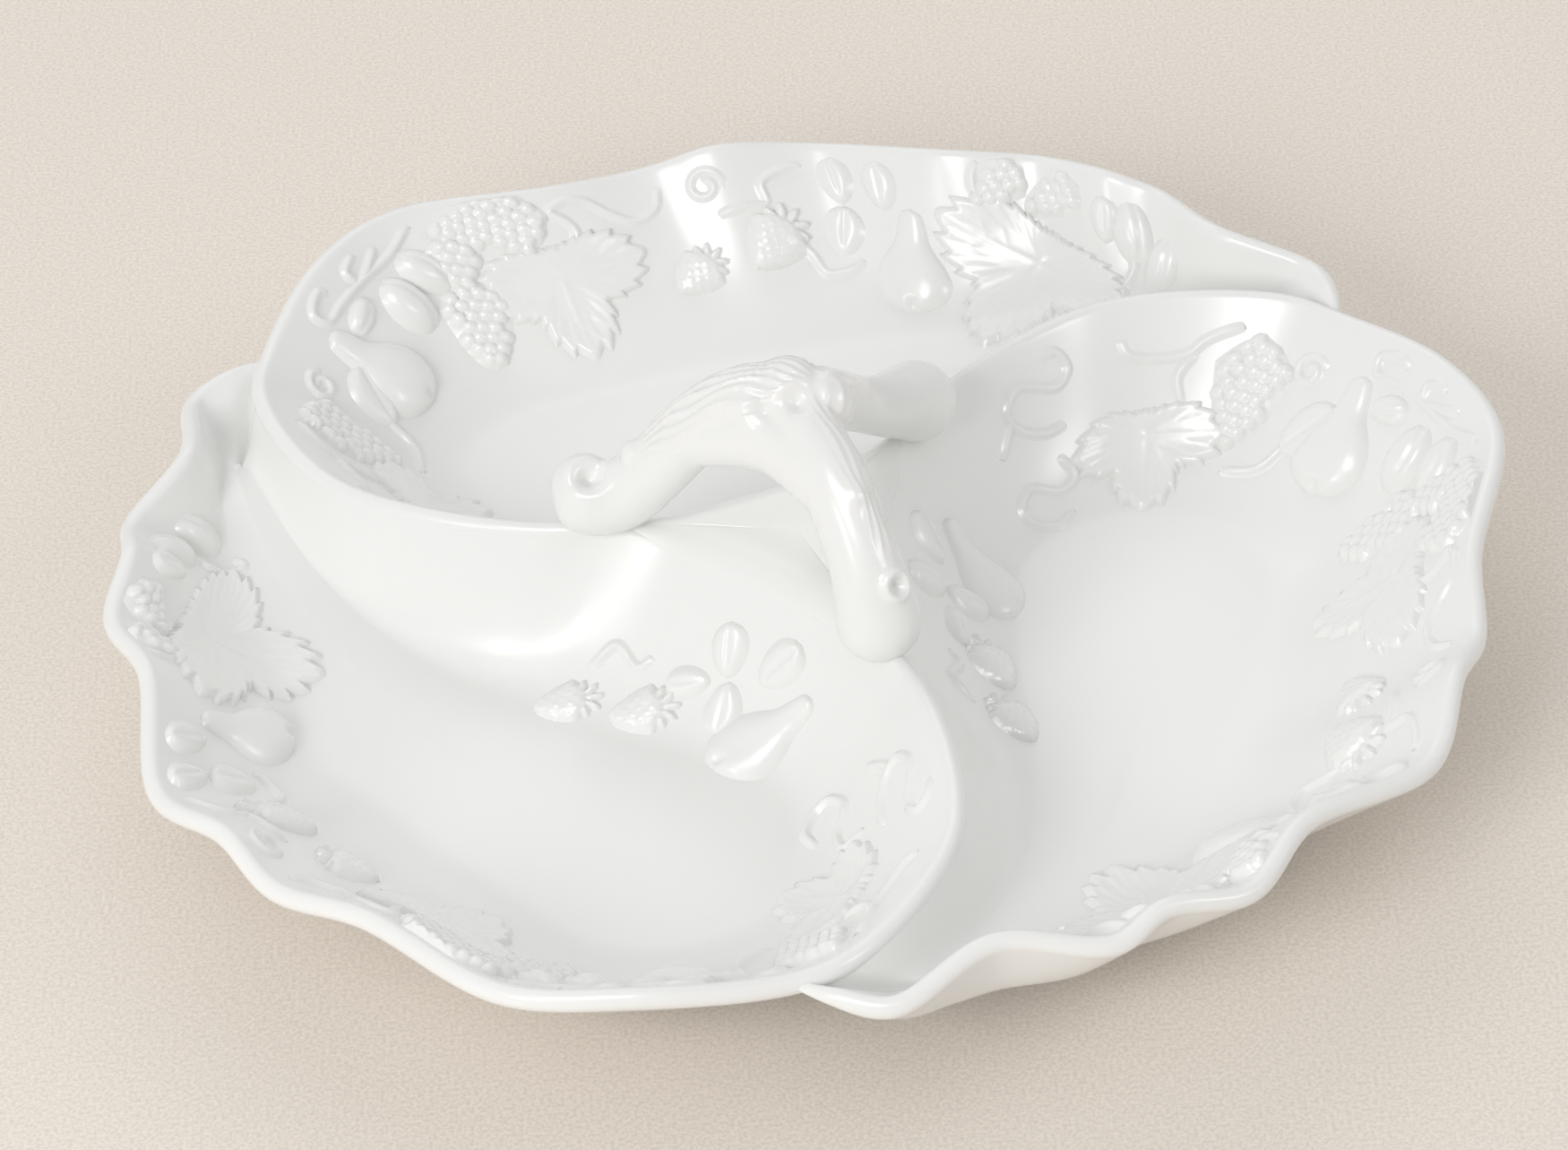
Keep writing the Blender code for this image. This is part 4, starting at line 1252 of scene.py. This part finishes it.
class DISH_OT_stage(bpy.types.Operator):
    """Make the floor, the lamps and the camera"""

    bl_idname = "dish.stage"
    bl_label = "Stage"

    def execute(self, context):
        """Floor, lamps, even light and camera."""
        settings = context.scene.dish_stage
        self.make_floor(context, settings)
        self.make_lamps(context, settings)
        self.make_camera(context, settings)
        context.scene.view_settings.view_transform = "Standard"
        return {"FINISHED"}

    def make_floor(self, context, settings):
        """Wide floor at the table's height."""
        mesh = bpy.data.meshes.new("floor")
        ways = ((-1, -1), (1, -1), (1, 1), (-1, 1))
        mesh.from_pydata([(x * FLOOR_REACH, y * FLOOR_REACH, 0.0) for x, y in ways], [], [(0, 1, 2, 3)])
        material = bpy.data.materials.new("floor_paper")
        material.use_nodes = True
        tree = material.node_tree
        shader = tree.nodes["Principled BSDF"]
        fleck = tuple(FLECK_SHADE * value for value in settings.floor[:3]) + (1.0,)
        colour = mixed(tree, noise(tree, *FLOOR_GRAIN), settings.floor, fleck)
        tree.links.new(colour, shader.inputs["Base Color"])
        shader.inputs["Roughness"].default_value = FLOOR_ROUGHNESS
        mesh.materials.append(material)
        floor = bpy.data.objects.new("floor", mesh)
        context.scene.collection.objects.link(floor)

    def make_lamps(self, context, settings):
        """Lamps that light the dish, windows that show only in its glaze, and an even world."""
        for name, place, size, setting, share in LAMPS:
            lamp = bpy.data.lights.new(name, "AREA")
            lamp.shape = "RECTANGLE"
            lamp.size, lamp.size_y = size
            lamp.energy = share * getattr(settings, setting)
            box = bpy.data.objects.new(name, lamp)
            box.location = place
            box.visible_glossy = setting == "window"
            box.visible_diffuse = setting != "window"
            box.rotation_euler = (-Vector(place)).to_track_quat("-Z", "Y").to_euler()
            context.scene.collection.objects.link(box)
        world = bpy.data.worlds.new("studio")
        world.use_nodes = True
        sky = world.node_tree.nodes["Background"]
        sky.inputs["Color"].default_value = WORLD_TINT
        sky.inputs["Strength"].default_value = settings.ambient
        context.scene.world = world

    def make_camera(self, context, settings):
        """Camera in front of the dish, rolled a little."""
        ahead = Vector((0.0, math.cos(settings.elevation), -math.sin(settings.elevation)))
        target = Vector(LOOK_AT) + Vector(dish_axis())
        across = Vector((1.0, 0.0, 0.0))
        over = across.cross(ahead)
        right = math.cos(settings.roll) * across + math.sin(settings.roll) * over
        up = right.cross(ahead)
        camera = bpy.data.objects.new("camera", bpy.data.cameras.new("camera"))
        camera.data.lens = settings.lens
        camera.data.sensor_width = SENSOR_WIDTH
        turn = Matrix((right, up, -ahead)).transposed().to_4x4()
        camera.matrix_world = Matrix.Translation(target - settings.distance * ahead) @ turn
        context.scene.collection.objects.link(camera)
        context.scene.camera = camera


class DISH_PT_panel(bpy.types.Panel):
    """Lists the dish's operators and sizes"""

    bl_idname = "DISH_PT_panel"
    bl_label = "Serving dish"
    bl_space_type = "VIEW_3D"
    bl_region_type = "UI"
    bl_category = "Dish"

    def draw(self, context):
        """Buttons, then the settings."""
        for operator in OPERATORS:
            self.layout.operator(operator.bl_idname)
        for name, _ in SETTINGS:
            group = getattr(context.scene, name)
            for key in group.__annotations__:
                self.layout.prop(group, key)


SETTINGS = (
    ("dish_bowls", DishBowlSettings),
    ("dish_handle", DishHandleSettings),
    ("dish_glaze", DishGlazeSettings),
    ("dish_stage", DishStageSettings),
)
OPERATORS = (DISH_OT_bowls, DISH_OT_relief, DISH_OT_web, DISH_OT_handle, DISH_OT_stage)


def register():
    """Register the settings, the operators and the panel."""
    for name, group in SETTINGS:
        bpy.utils.register_class(group)
        setattr(bpy.types.Scene, name, bpy.props.PointerProperty(type=group))
    for operator in OPERATORS:
        bpy.utils.register_class(operator)
    bpy.utils.register_class(DISH_PT_panel)


def unregister():
    """Take everything out again."""
    bpy.utils.unregister_class(DISH_PT_panel)
    for operator in reversed(OPERATORS):
        bpy.utils.unregister_class(operator)
    for name, group in reversed(SETTINGS):
        delattr(bpy.types.Scene, name)
        bpy.utils.unregister_class(group)


def main():
    """Make the whole scene."""
    register()
    bpy.ops.dish.bowls()
    bpy.ops.dish.relief()
    bpy.ops.dish.web()
    bpy.ops.dish.handle()
    bpy.ops.dish.stage()


if __name__ == "__main__":
    main()
